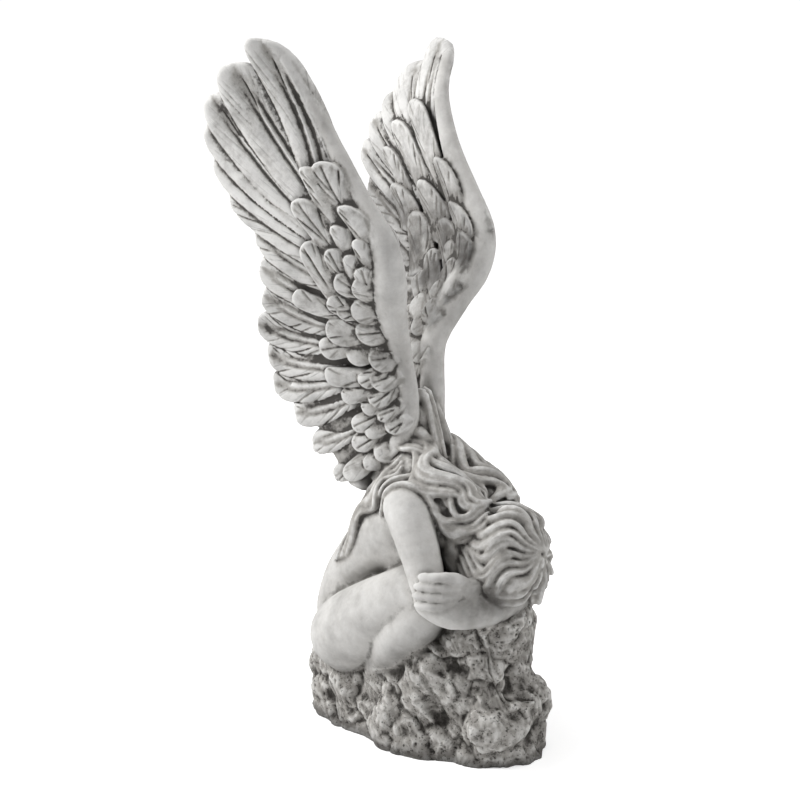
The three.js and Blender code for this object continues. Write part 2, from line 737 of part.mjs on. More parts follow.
/** Merges the vertices that a closed mesh can best spare, until it has few enough triangles. */
function thinned(geometry, most) {
  const position = geometry.attributes.position;
  const points = Array.from({ length: position.count }, (_, i) =>
    vec(0, 0, 0).fromBufferAttribute(position, i),
  );
  const index = geometry.index.array;
  let faces = [];
  for (let i = 0; i < index.length; i += 3) faces.push([...index.slice(i, i + 3)]);

  // Each point gathers the planes of its faces, so that a move's error can be summed from them.
  const planes = points.map(() => new Float64Array(10));
  const planeOf = ([a, b, c]) => {
    const normal = points[b].clone().sub(points[a]).cross(points[c].clone().sub(points[a]));
    const area = normal.length() / 2;
    normal.normalize();
    return { normal, offset: -normal.dot(points[a]), area };
  };
  for (const face of faces) {
    const { normal: { x, y, z }, offset: d, area } = planeOf(face);
    const terms = [x * x, x * y, x * z, x * d, y * y, y * z, y * d, z * z, z * d, d * d];
    for (const v of face) terms.forEach((term, i) => (planes[v][i] += term * area));
  }
  const errorAt = ({ x, y, z }, q) =>
    q[0] * x * x + q[4] * y * y + q[7] * z * z + q[9] +
    2 * (q[1] * x * y + q[2] * x * z + q[3] * x + q[5] * y * z + q[6] * y + q[8] * z);
  const bestPoint = (a, b, q) => {
    const middle = points[a].clone().lerp(points[b], 0.5);
    const matrix = new THREE.Matrix3().set(q[0], q[1], q[2], q[1], q[4], q[5], q[2], q[5], q[7]);
    const size = Math.cbrt(Math.abs(matrix.determinant()));
    const choices = [middle, points[a].clone(), points[b].clone()];
    if (size > 1e-2 * (q[0] + q[4] + q[7]))
      choices.unshift(vec(-q[3], -q[6], -q[8]).applyMatrix3(matrix.invert()));
    const near = choices.filter((p) => p.distanceTo(middle) <= 2 * points[a].distanceTo(points[b]));
    return near.reduce((best, p) => (errorAt(p, q) < errorAt(best, q) ? p : best));
  };
  // A face's shape is its area against its longest edge, squared: near zero for a sliver.
  const shapeOf = (face) => {
    const edges = face.map((v, i) => points[v].distanceToSquared(points[face[(i + 1) % 3]]));
    const { normal, area } = planeOf(face);
    return { normal, area, shape: area / Math.max(...edges, 1e-9) };
  };
  const spoils = (v, w, target, around) =>
    around[v].some((face) => {
      if (face.includes(w)) return false;
      const before = shapeOf(face);
      const kept = points[v];
      points[v] = target;
      const after = shapeOf(face);
      points[v] = kept;
      const turned = before.area > 0.05 && after.normal.dot(before.normal) < 0.3;
      return turned || (after.shape < 0.04 && after.shape < before.shape);
    });

  for (let allowed = 0.02; faces.length > most && allowed < 1e5; allowed *= 1.25) {
    const around = points.map(() => []);
    for (const face of faces) for (const v of face) around[v].push(face);
    const settled = new Uint8Array(points.length);
    let count = faces.length;
    for (const face of faces) {
      for (let k = 0; k < 3 && count > most; k++) {
        const [a, b] = [face[k], face[(k + 1) % 3]];
        if (a > b || settled[a] || settled[b]) continue;
        const q = planes[a].map((term, i) => term + planes[b][i]);
        const target = bestPoint(a, b, q);
        if (errorAt(target, q) > allowed) continue;
        const ringA = new Set(around[a].flat());
        const ringB = new Set(around[b].flat());
        const shared = [...ringA].filter((v) => ringB.has(v) && v !== a && v !== b);
        if (shared.length !== 2) continue;
        if (spoils(a, b, target, around) || spoils(b, a, target, around)) continue;
        points[a] = target;
        planes[a] = q;
        for (const v of [...ringA, ...ringB]) settled[v] = 1;
        for (const other of around[b]) other[other.indexOf(b)] = a;
        count -= 2;
      }
    }
    faces = faces.filter(([a, b, c]) => a !== b && b !== c && c !== a);
  }
  const result = new THREE.BufferGeometry().setFromPoints(points);
  result.setIndex(faces.flat());
  return result;
}

/** Cuts the rock flat where it stands. */
function cutAtGround(solid) {
  const below = new THREE.BoxGeometry(600, 600, 100);
  below.translate(0, 0, -50);
  return solid.subtract(solidOf(below));
}

// ---- Statue -------------------------------------------------------------------------------------

/** The whole statue as one solid. */
function statueSolid() {
  const flesh = blend(
    4,
    blend(7, trunk(), onSide(RIGHT, upperArm(73, -63)), onSide(LEFT, upperArm(66, -48))),
    ...SIDES.map((side) => onSide(side, leg())),
    lap(),
    forearms(),
    head(),
    hairMass(),
  );
  const carved = joined([
    skin(blend(4, flesh, rock())),
    ...hand(vec(-56, -93, 177), vec(-82, -84, 178), vec(-91, -54, 176), vec(-1, -0.2, 0.1)),
    ...hand(vec(30, -100, 166), vec(52, -86, 168), vec(80, -62, 168), vec(0.6, -0.8, 0.1)),
    ...headLocks(flesh),
    ...backLocks(flesh),
    ...SIDES.map(wing),
  ]);
  const fine = withoutPockets(geometryOf(carved));
  return cutAtGround(solidOf(thinned(fine, CARVING_TRIANGLES)));
}

const castStone = new THREE.MeshStandardMaterial({ color: 0xc9c8c3, roughness: 0.85, metalness: 0 });

const statue = new THREE.Mesh(geometryOf(statueSolid()), castStone);
statue.name = "angel_statue";

const group = new THREE.Group();
group.add(statue);

export default group;
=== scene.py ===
"""A cemetery angel in cast stone: the finished surface, its stone and a plain studio around it.

A nude winged figure sits on a rock, folds its arms on the rock's higher block and buries its face
in them. The statue is one casting, so every form here is carved into one closed piece. The forms
are worked out in millimetres, in the frame's own axes, and the finished mesh is in metres: +Z is
up, and the figure faces -Y, so its right hand is on the -X side.
"""
import logging
import math
from collections.abc import Callable, Iterator, Sequence
from dataclasses import dataclass, field, replace
from enum import Enum

import bmesh
import bpy
import numpy as np
from mathutils import Matrix, Vector
from mathutils.bvhtree import BVHTree


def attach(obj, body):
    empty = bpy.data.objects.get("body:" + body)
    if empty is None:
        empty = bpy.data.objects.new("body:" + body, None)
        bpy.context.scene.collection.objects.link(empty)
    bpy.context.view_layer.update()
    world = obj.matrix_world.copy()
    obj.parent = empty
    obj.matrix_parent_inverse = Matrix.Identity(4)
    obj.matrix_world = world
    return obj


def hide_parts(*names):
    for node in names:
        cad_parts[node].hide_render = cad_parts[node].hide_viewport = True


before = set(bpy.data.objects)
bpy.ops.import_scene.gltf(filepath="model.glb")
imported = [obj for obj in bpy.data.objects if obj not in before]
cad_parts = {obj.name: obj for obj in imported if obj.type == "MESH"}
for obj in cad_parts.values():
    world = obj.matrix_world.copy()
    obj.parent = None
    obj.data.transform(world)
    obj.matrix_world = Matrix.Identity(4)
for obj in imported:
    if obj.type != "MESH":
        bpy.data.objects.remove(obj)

log = logging.getLogger("angel")

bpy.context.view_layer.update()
NODE = "angel_statue"
METRE = 0.001  # of a millimetre
SEED = 46  # of every irregularity
TINY = 1e-9  # keeps a division off zero
LIMB_JOIN = 2.5  # how softly a limb's pieces join

Points = np.ndarray  # of shape (count, 3), in millimetres
Values = np.ndarray  # of shape (count,)
Pair = tuple[float, float]
Triple = tuple[float, float, float]
Numbers = tuple[float, ...]
Station = tuple[float, float, float, float]  # x, y, z and the radius there
Stations = Sequence[Station]
Colour = tuple[float, float, float, float]
Form = bmesh.types.BMesh
Mesh = bpy.types.Mesh
Socket = bpy.types.NodeSocket


class Side(Enum):
    """The figure's two sides; the value is the sign of x there."""

    RIGHT = -1
    LEFT = 1


class Zone(Enum):
    """What the loose forms of a heap show, once they are part of the casting."""

    SKIN = 0
    HAIR = 1
    FEATHER = 2


# ---- Rounded forms, as distances from their surfaces ----


def soft_min(a: Values, b: Values, softness: float) -> Values:
    """Returns the lesser of two distances, with a soft join between the two forms."""
    overlap = np.maximum(softness - np.abs(a - b), 0) / softness
    return np.minimum(a, b) - overlap * overlap * softness / 4


def soft_max(a: Values, b: Values, softness: float) -> Values:
    """Returns the greater of two distances, with a soft join between the two forms."""
    return -soft_min(-a, -b, softness)


def blend(softness: float, *distances: Values) -> Values:
    """Returns the distance to several forms joined softly into one.

    Args:
        softness: How wide the joins are.
        distances: The distance to each form.

    Returns:
        The distance to the joined form.
    """
    whole = distances[0]
    for distance in distances[1:]:
        whole = soft_min(whole, distance, softness)
    return whole


def bone(points: Points, ends: tuple[Station, Station]) -> Values:
    """Returns the distance to a bone that swells from one radius to another.

    Args:
        points: Where it is wanted.
        ends: The bone's two stations.

    Returns:
        The distance, less than zero inside.
    """
    (*start, radius), (*end, end_radius) = ends
    start = np.asarray(start, float)
    along = np.asarray(end, float) - start
    offset = points - start
    share = np.clip(offset @ along / (along @ along), 0, 1)
    offset = offset - share[:, None] * along
    return np.sqrt((offset * offset).sum(1)) - radius - (end_radius - radius) * share


def smooth_values(stations: Sequence, shares: Values) -> np.ndarray:
    """Reads a smooth curve through evenly timed stations.

    Args:
        stations: The values or points that the curve passes through.
        shares: Where along the curve it is read, from 0 to 1.

    Returns:
        One value or point for each share.
    """
    knots = np.asarray(stations, float)
    last = len(knots) - 1
    place = np.clip(shares, 0, 1) * last
    index = np.minimum(place.astype(int), last - 1)
    f = (place - index).reshape((-1,) + (1,) * (knots.ndim - 1))
    before = np.where(index > 0, index - 1, 0)
    a, b, c = knots[before], knots[index], knots[index + 1]
    a = np.where((index > 0).reshape(f.shape), a, 2 * b - c)
    d = knots[np.minimum(index + 2, last)]
    d = np.where((index + 2 <= last).reshape(f.shape), d, 2 * c - b)
    slope_b, slope_c = (c - a) / 2, (d - b) / 2
    return (
        (2 * f**3 - 3 * f**2 + 1) * b
        + (f**3 - 2 * f**2 + f) * slope_b
        + (3 * f**2 - 2 * f**3) * c
        + (f**3 - f**2) * slope_c
    )


def limb_pieces(stations: Stations, per_station: int = 3) -> np.ndarray:
    """Returns the places and radii of a limb, with per_station of them to each station."""
    count = (len(stations) - 1) * per_station
    return smooth_values(stations, np.linspace(0, 1, count + 1))


def limb(points: Points, stations: Stations) -> Values:
    """Returns the distance to a limb that bends smoothly through its stations."""
    joints = limb_pieces(stations)
    return blend(LIMB_JOIN, *[bone(points, ends) for ends in zip(joints[:-1], joints[1:])])


@dataclass(frozen=True)
class Egg:
    """An egg's place and radii, tipped forward about the X axis by tilt, in radians."""

    centre: Triple
    radii: Triple
    tilt: float = 0.0

    def distance(self, points: Points) -> Values:
        """Returns the distance to the egg.

        Args:
            points: Where it is wanted.

        Returns:
            The distance, less than zero inside.
        """
        x, y, z = (points - np.asarray(self.centre, float)).T
        c, s = math.cos(self.tilt), math.sin(self.tilt)
        turned = np.stack([x, y * c + z * s, z * c - y * s], 1)
        radii = np.asarray(self.radii, float)
        reach = np.sqrt(((turned / radii) ** 2).sum(1))
        slope = np.sqrt(((turned / radii**2) ** 2).sum(1)) + TINY
        return reach * (reach - 1) / slope

    def rough_out(self, form: Form, side: Side = Side.LEFT) -> None:
        """Adds the egg, untipped, to a rough form; on the right side it is mirrored."""
        x, y, z = self.centre
        add_ball(form, (side.value * x, y, z), self.radii)


def on_side(points: Points, side: Side) -> Points:
    """Returns the points mirrored, so that a form written for +X lies on that side."""
    return points * np.array([side.value, 1, 1])


# ---- Figure ----


@dataclass
class Figure:
    """The nude figure: a bent trunk, drawn-up legs, folded arms and a bowed head."""

    skull: Egg = Egg((0.0, -91.0, 199.0), (38, 47, 42), -0.22)
    forelock: Egg = Egg((-9.0, -98.0, 183.0), (35, 36, 31))
    belly: Egg = Egg((0, 8, 188), (48, 24, 32))
    breast: Egg = Egg((35, -18, 194), (17, 17, 17))
    buttock: Egg = Egg((34, 76, 93), (37, 36, 34), 0.3)
    lap: Egg = Egg((0, 2, 126), (30, 50, 44))
    wing_roots: Egg = Egg((0, 4, 300), (17, 13, 42))
    back_hair: Stations = (
        (24, 8, 264, 15), (33, 26, 248, 13), (37, 36, 232, 11), (42, 52, 208, 7),
    )
    spine: Stations = (
        (22, 80, 84, 34), (14, 95, 116, 31), (14, 84, 150, 30), (20, 56, 180, 31),
        (25, 24, 208, 32), (26, -6, 232, 28), (16, -30, 240, 22),
    )
    thigh: Stations = (
        (30, 84, 94, 30), (38, 70, 99, 38), (47, 42, 116, 38), (51, 8, 138, 34),
        (50, -24, 158, 29), (49, -36, 161, 27),
    )
    calf: Stations = (
        (50, -40, 158, 22), (55, -32, 136, 25), (58, -12, 114, 24), (54, 8, 93, 17),
        (50, 24, 74, 12),
    )
    elbow_height: float = 166.0
    right_elbow: Pair = (73.0, -63.0)
    left_elbow: Pair = (66.0, -48.0)
    right_forearm: Stations = (
        (-73, -62, 162, 15.5), (-66, -84, 156, 17), (-40, -104, 157, 16), (4, -110, 162, 12),
        (30, -100, 166, 9.5),
    )
    left_forearm: Stations = (
        (66, -48, 162, 15), (54, -78, 164, 16), (14, -100, 172, 14), (-30, -100, 177, 12),
        (-54, -94, 177, 10), (-68, -89, 177.5, 7),
    )
    neck_hair: Stations = (
        (14, -84, 222, 20), (22, -54, 241, 21), (22, -20, 262, 22), (16, 8, 276, 20),
        (12, 26, 262, 18),
    )
    shoulder_hair: Stations = (
        (28, -60, 226, 15), (42, -34, 246, 15), (44, -4, 254, 15), (36, 22, 240, 14),
    )
    shoulder: tuple[Station, Station] = ((30, -2, 238, 22), (56, -14, 244, 19))
    neck: tuple[Station, Station] = ((0, -34, 240, 26), (0, -78, 212, 24))

    def trunk(self, points: Points) -> Values:
        """Returns the distance to the back, ribs, breasts and shoulders.

        Args:
            points: Where it is wanted.

        Returns:
            The distance, less than zero inside.
        """
        sides = (on_side(points, side) for side in Side)
        halves = [blend(12, limb(p, self.spine), bone(p, self.shoulder)) for p in sides]
        breasts = [self.breast.distance(on_side(points, side)) for side in Side]
        neck = bone(points, self.neck)
        return blend(14, *halves, self.belly.distance(points), *breasts, neck)

    def leg(self, points: Points, side: Side) -> Values:
        """Returns the distance to one buttock, thigh, knee and calf."""
        p = on_side(points, side)
        return blend(3, blend(10, limb(p, self.thigh), self.buttock.distance(p)), limb(p, self.calf))

    def arm_stations(self, side: Side) -> Stations:
        """Works out one upper arm's stations, written for +X.

        Args:
            side: Which of the two arms.

        Returns:
            The stations, from the shoulder to the elbow.
        """
        x, y = self.right_elbow if side is Side.RIGHT else self.left_elbow
        middle = (61 + 0.45 * (x - 61), -29 + 0.42 * (y + 29), 207, 19)
        elbow = (x, y, self.elbow_height, 16)
        return ((57, -19, 247, 19), (61, -27, 235, 21.5), middle, elbow)

    def head(self, points: Points) -> Values:
        """Returns the distance to the bowed head with the hair that lies close to it."""
        return blend(10, self.skull.distance(points), self.forelock.distance(points))

    def hair_mass(self, points: Points) -> Values:
        """Returns the distance to the thick of the hair, down to the roots of the wings.

        Args:
            points: Where it is wanted.

        Returns:
            The distance, less than zero inside.
        """
        masses = (self.neck_hair, self.shoulder_hair, self.back_hair)
        sides = (on_side(points, side) for side in Side)
        halves = [blend(10, *[limb(p, mass) for mass in masses]) for p in sides]
        return blend(10, *halves, self.wing_roots.distance(points))

    def distance(self, points: Points) -> Values:
        """Returns the distance to the whole figure.

        Args:
            points: Where it is wanted.

        Returns:
            The distance, less than zero inside.
        """
        arms = [limb(on_side(points, side), self.arm_stations(side)) for side in Side]
        return blend(
            4,
            blend(7, self.trunk(points), *arms),
            *[self.leg(points, side) for side in Side],
            self.lap.distance(points),
            blend(4, limb(points, self.right_forearm), limb(points, self.left_forearm)),
            self.head(points),
            self.hair_mass(points),
        )

    def rough_out(self, form: Form) -> None:
        """Lays round balls where the figure's forms are, for the carving to start from.

        Args:
            form: Where the balls go.
        """
        for side in Side:
            limbs = [self.spine, self.thigh, self.calf, self.arm_stations(side)]
            for stations in [*limbs, self.neck_hair, self.shoulder_hair, self.back_hair]:
                for x, y, z, radius in limb_pieces(stations):
                    add_ball(form, (side.value * x, y, z), (radius,) * 3)
            self.buttock.rough_out(form, side)
            self.breast.rough_out(form, side)
            add_ball(form, (side.value * 43, -8, 241), (22, 20, 20))
        for stations in (self.right_forearm, self.left_forearm):
            for x, y, z, radius in limb_pieces(stations, 4):
                add_ball(form, (x, y, z), (radius,) * 3)
        add_ball(form, self.skull.centre, (38, 46, 41))
        self.forelock.rough_out(form)
        self.belly.rough_out(form)
        add_ball(form, self.lap.centre, (32, 50, 44))
        add_ball(form, (0, -56, 226), (26, 34, 26))
        self.wing_roots.rough_out(form)


# ---- Rock ----


@dataclass
class Rock:
    """The rough rock: a broad foot with a seat, a slope under the shins and the arms' block."""

    half_length: float = 138.0
    half_width: float = 59.0
    seat_height: float = 70.0
    block_y: float = -79.0
    block_height: float = 151.0
    roughness: float = 3.5
    low: float = -15.0
    toe: Egg = Egg((-22, -106, 36), (42, 22, 22))

    @staticmethod
    def ripple(points: Points, wave: float) -> Values:
        """Returns a slow, seedless ripple.

        Args:
            points: Where it is wanted.
            wave: How far it runs in one radian, in millimetres.

        Returns:
            The ripple at each point, between -1 and 1.
        """
        x, y, z = points.T / wave
        across = np.sin(x + 1.7 * np.sin(z + 0.8)) * np.cos(y + 1.3 * np.sin(x - 1.1))
        return across * np.cos(z + 0.6)

    @staticmethod
    def column(
        points: Points, centre: Numbers, halves: tuple[Values, Values], taper: float, power: float
    ) -> Values:
        """Returns the distance to an upright rounded block that is wider at the front.

        Args:
            points: Where it is wanted.
            centre: The block's x and y.
            halves: Half its width and half its length.
            taper: How much each side narrows in a millimetre toward the back.
            power: 2 for an oval, more for squarer corners.

        Returns:
            The distance, less than zero inside.
        """
        dx, dy = points[:, 0] - centre[0], points[:, 1] - centre[1]
        width = halves[0] - taper * np.clip(dy, -halves[1], halves[1])
        reach = (np.abs(dx / width) ** power + np.abs(dy / halves[1]) ** power) ** (1 / power)
        return (reach - 1) * width * 0.9

    def distance(self, points: Points) -> Values:
        """Returns the distance to the rock, which goes on below the ground.

        Args:
            points: Where it is wanted.

        Returns:
            The distance, less than zero inside.
        """
        y, z = points[:, 1], points[:, 2]
        footing = (self.half_width - 0.03 * z, self.half_length - 0.04 * z)
        foot = self.column(points, (0, 5), footing, 0.06, 2.8)
        foot = soft_max(foot, z - self.seat_height, 12)
        slope = self.column(points, (0, -20), (72, 62), 0, 2.8)
        slope = soft_max(slope, z - np.minimum(90 - 0.52 * y, 128), 12)
        block = self.column(points, (-4, self.block_y), (45, 37), 0, 2.4)
        block = soft_max(block, z - self.block_height, 8)
        whole = soft_min(blend(10, foot, slope, block), self.toe.distance(points), 6)
        ripples = self.ripple(points, 15) + 0.5 * self.ripple(points, 7.5)
        whole = whole + self.roughness * ripples
        return np.maximum(whole, self.low - z)

    def rough_out(self, form: Form) -> None:
        """Lays round blocks where the rock's forms are, for the carving to start from.

        Args:
            form: Where the blocks go.
        """
        add_drum(form, (0, 5), (self.half_width, self.half_length), (-25, self.seat_height))
        add_drum(form, (0, -22), (68, 58), (0, 112))
        add_drum(form, (-4, self.block_y), (45, 37), (0, self.block_height - 4))
        self.toe.rough_out(form)


# ---- Rough masses and sweeps ----


def add_ball(form: Form, centre: Sequence, radii: Sequence) -> None:
    """Adds a round ball or egg to a form."""
    place = Matrix.Translation(centre) @ Matrix.Diagonal((*radii, 1))
    bmesh.ops.create_icosphere(form, subdivisions=3, radius=1, matrix=place)


def add_drum(form: Form, centre: Sequence, halves: Sequence, heights: Sequence) -> None:
    """Adds an upright oval block to a form, from one height to another.

    Args:
        form: Where the block goes.
        centre: The block's x and y.
        halves: Half its width and half its length.
        heights: How high its lower and its upper face lie.
    """
    low, high = heights
    place = Matrix.Translation((*centre, (low + high) / 2)) @ Matrix.Diagonal((*halves, 1, 1))
    bmesh.ops.create_cone(
        form, cap_ends=True, segments=48, radius1=1, radius2=1, depth=high - low, matrix=place
    )


@dataclass
class Sweep:
    """A closed form laid along a curve: a ball whose poles are drawn out to the curve's ends.

    The ball's rings go along the curve, and its meridians around it.
    """

    around: int
    along: int
    share: Values = field(init=False)
    angle: Values = field(init=False)
    open: np.ndarray = field(init=False)  # 0 at the poles and 1 elsewhere
    ball: Mesh = field(init=False)

    def __post_init__(self) -> None:
        """Makes the ball, and reads how far along and around each of its points lies."""
        form = bmesh.new()
        bmesh.ops.create_uvsphere(form, u_segments=self.around, v_segments=self.along, radius=1)
        self.ball = bpy.data.meshes.new("ball")
        form.to_mesh(self.ball)
        form.free()
        points = read_points(self.ball)
        self.share = np.arccos(np.clip(-points[:, 2], -1, 1)) / math.pi
        self.angle = np.arctan2(points[:, 1], points[:, 0])
        self.open = np.where(np.hypot(points[:, 0], points[:, 1]) < 1e-5, 0, 1)


def vectors_of(items: bpy.types.bpy_prop_collection, name: str) -> np.ndarray:
    """Reads one vector from each of a mesh's points or normals.

    Args:
        items: The points or the normals.
        name: What the vector is called there.

    Returns:
        The vectors.
    """
    flat = np.empty(len(items) * 3, np.float32)
    items.foreach_get(name, flat)
    return flat.reshape(-1, 3).astype(float)


def read_points(mesh: Mesh) -> Points:
    """Returns a mesh's points."""
    return vectors_of(mesh.vertices, "co")


def normals_of(mesh: Mesh) -> np.ndarray:
    """Returns a mesh's outward direction at each of its points."""
    return vectors_of(mesh.vertex_normals, "vector")


def write_points(mesh: Mesh, points: Points) -> None:
    """Moves a mesh's points."""
    mesh.vertices.foreach_set("co", np.asarray(points, np.float32).ravel())
    mesh.update()


def unit(vectors: np.ndarray) -> np.ndarray:
    """Returns vectors of length 1, each in the way that it pointed."""
    return vectors / np.maximum(np.linalg.norm(vectors, axis=-1, keepdims=True), TINY)


@dataclass
class Heap:
    """Loose closed forms of one zone, which are gathered before they are joined."""

    zone: Zone
    form: Form = field(default_factory=bmesh.new)
    points: list[Points] = field(default_factory=list)
    notes: list[np.ndarray] = field(default_factory=list)

    def add(self, sweep: Sweep, points: Points, notes: np.ndarray) -> None:
        """Adds a sweep's ball, with the places and the notes of its points.

        Args:
            sweep: The sweep with the ball.
            points: The places of the ball's points.
            notes: Three numbers for each point, to be looked up later.
        """
        self.form.from_mesh(sweep.ball)
        self.points.append(points)
        self.notes.append(notes)

    def mesh(self) -> Mesh:
        """Joins the forms into one mesh, after which the heap takes no more.

        Returns:
            The mesh.
        """
        mesh = bpy.data.meshes.new("heap")
        self.form.to_mesh(mesh)
        self.form.free()
        write_points(mesh, np.concatenate(self.points))
        return mesh


# ---- Wings ----


@dataclass(frozen=True)
class Feather:
    """Where one feather lies on its wing, and its size.

    Its tip is back from the wing's front edge and up from the ground. It leans back from the
    vertical by lean degrees. On the left wing its tip lies further back by extra.
    """

    back: float
    up: float
    lean: float
    length: float
    half: float
    extra: float = 0.0


class Cut(Enum):
    """How a feather's face is cut; the value is its place in CHISELS."""

    BROAD = 0
    LEAF = 1
    PETAL = 2


@dataclass(frozen=True)
class Chisel:
    """The depths and spacings of one kind of cut, in millimetres where they are lengths."""

    quill: float  # how high the quill stands at the feather's root
    gutter: float  # how deep the gutter beside the quill is
    slit: float  # how deep the slit near the tip is
    slant: float  # how far a barb runs along the feather for each millimetre across it
    gap: float  # from one barb to the next
    barb: float  # how deep the barbs are
    least: float  # the faintest barb's share of that depth
    spread: float  # how much stronger the strongest barb is
    begins: float  # where the barbs begin, as a share of half the width
    swell: float  # how far the face swells
    lip: float  # how far the rim stands up


CHISELS = (
    Chisel(1.6, 1.1, 1.5, 3.0, 6.5, 0.7, 0.1, 0.6, 0.15, 1.0, 0.3),
    Chisel(1.0, 0.7, 0.0, 1.9, 6.6, 1.3, 0.08, 1.25, 0.08, 0.9, 0.5),
    Chisel(0.0, 0.0, 0.0, 2.2, 5.2, 1.1, 0.0, 1.4, 0.14, 0.5, 0.4),
)


@dataclass(frozen=True)
class Row:
    """How a row of feathers lies on one face of the wing.

    The feathers next to the wing's arm stand higher than the last ones by pile.
    """

    feathers: tuple[Feather, ...]
    lift: float  # how far the roots stand off the wing's middle plane
    rise: float  # how much further the tips do
    thickness: float  # half a feather's
    shingle: float  # how far it tips for each millimetre across it
    stretch: float  # what its length is multiplied by
    spread: float  # what its width is multiplied by
    tip_length: float  # its round tip, as a share of half its width
    pile: float = 0.0


def crest(off: Values, width: Values | float) -> Values:
    """Returns a round ridge that is 1 on a line and fades within about its width."""
    return np.exp(-((off / width) ** 2))


@dataclass(frozen=True)
class Spots:
    """Where points lie on their feathers, and how big those feathers are and how they are cut."""

    along: Values
    across: Values
    index: np.ndarray
    length: Values
    half: Values
    cap: Values
    cut: np.ndarray

    @property
    def side(self) -> Values:
        """Returns which side of the quill each point lies on."""
        return np.sign(self.across)

    @property
    def off(self) -> Values:
        """Returns how far each point lies from the quill."""
        return np.abs(self.across)

    @property
    def share(self) -> Values:
        """Returns how far along its feather each point lies, from 0 to 1."""
        return self.along / self.length

    @property
    def rim(self) -> Values:
        """Returns how near each point lies to its feather's rim, which is at 1."""
        tip = np.clip((self.share - 1 + self.cap) / self.cap, 0, 1)
        return np.hypot(self.off / self.half, tip)

    def chisel(self, name: str) -> Values:
        """Returns one of the chisels' values at each point."""
        return np.array([getattr(chisel, name) for chisel in CHISELS])[self.cut]


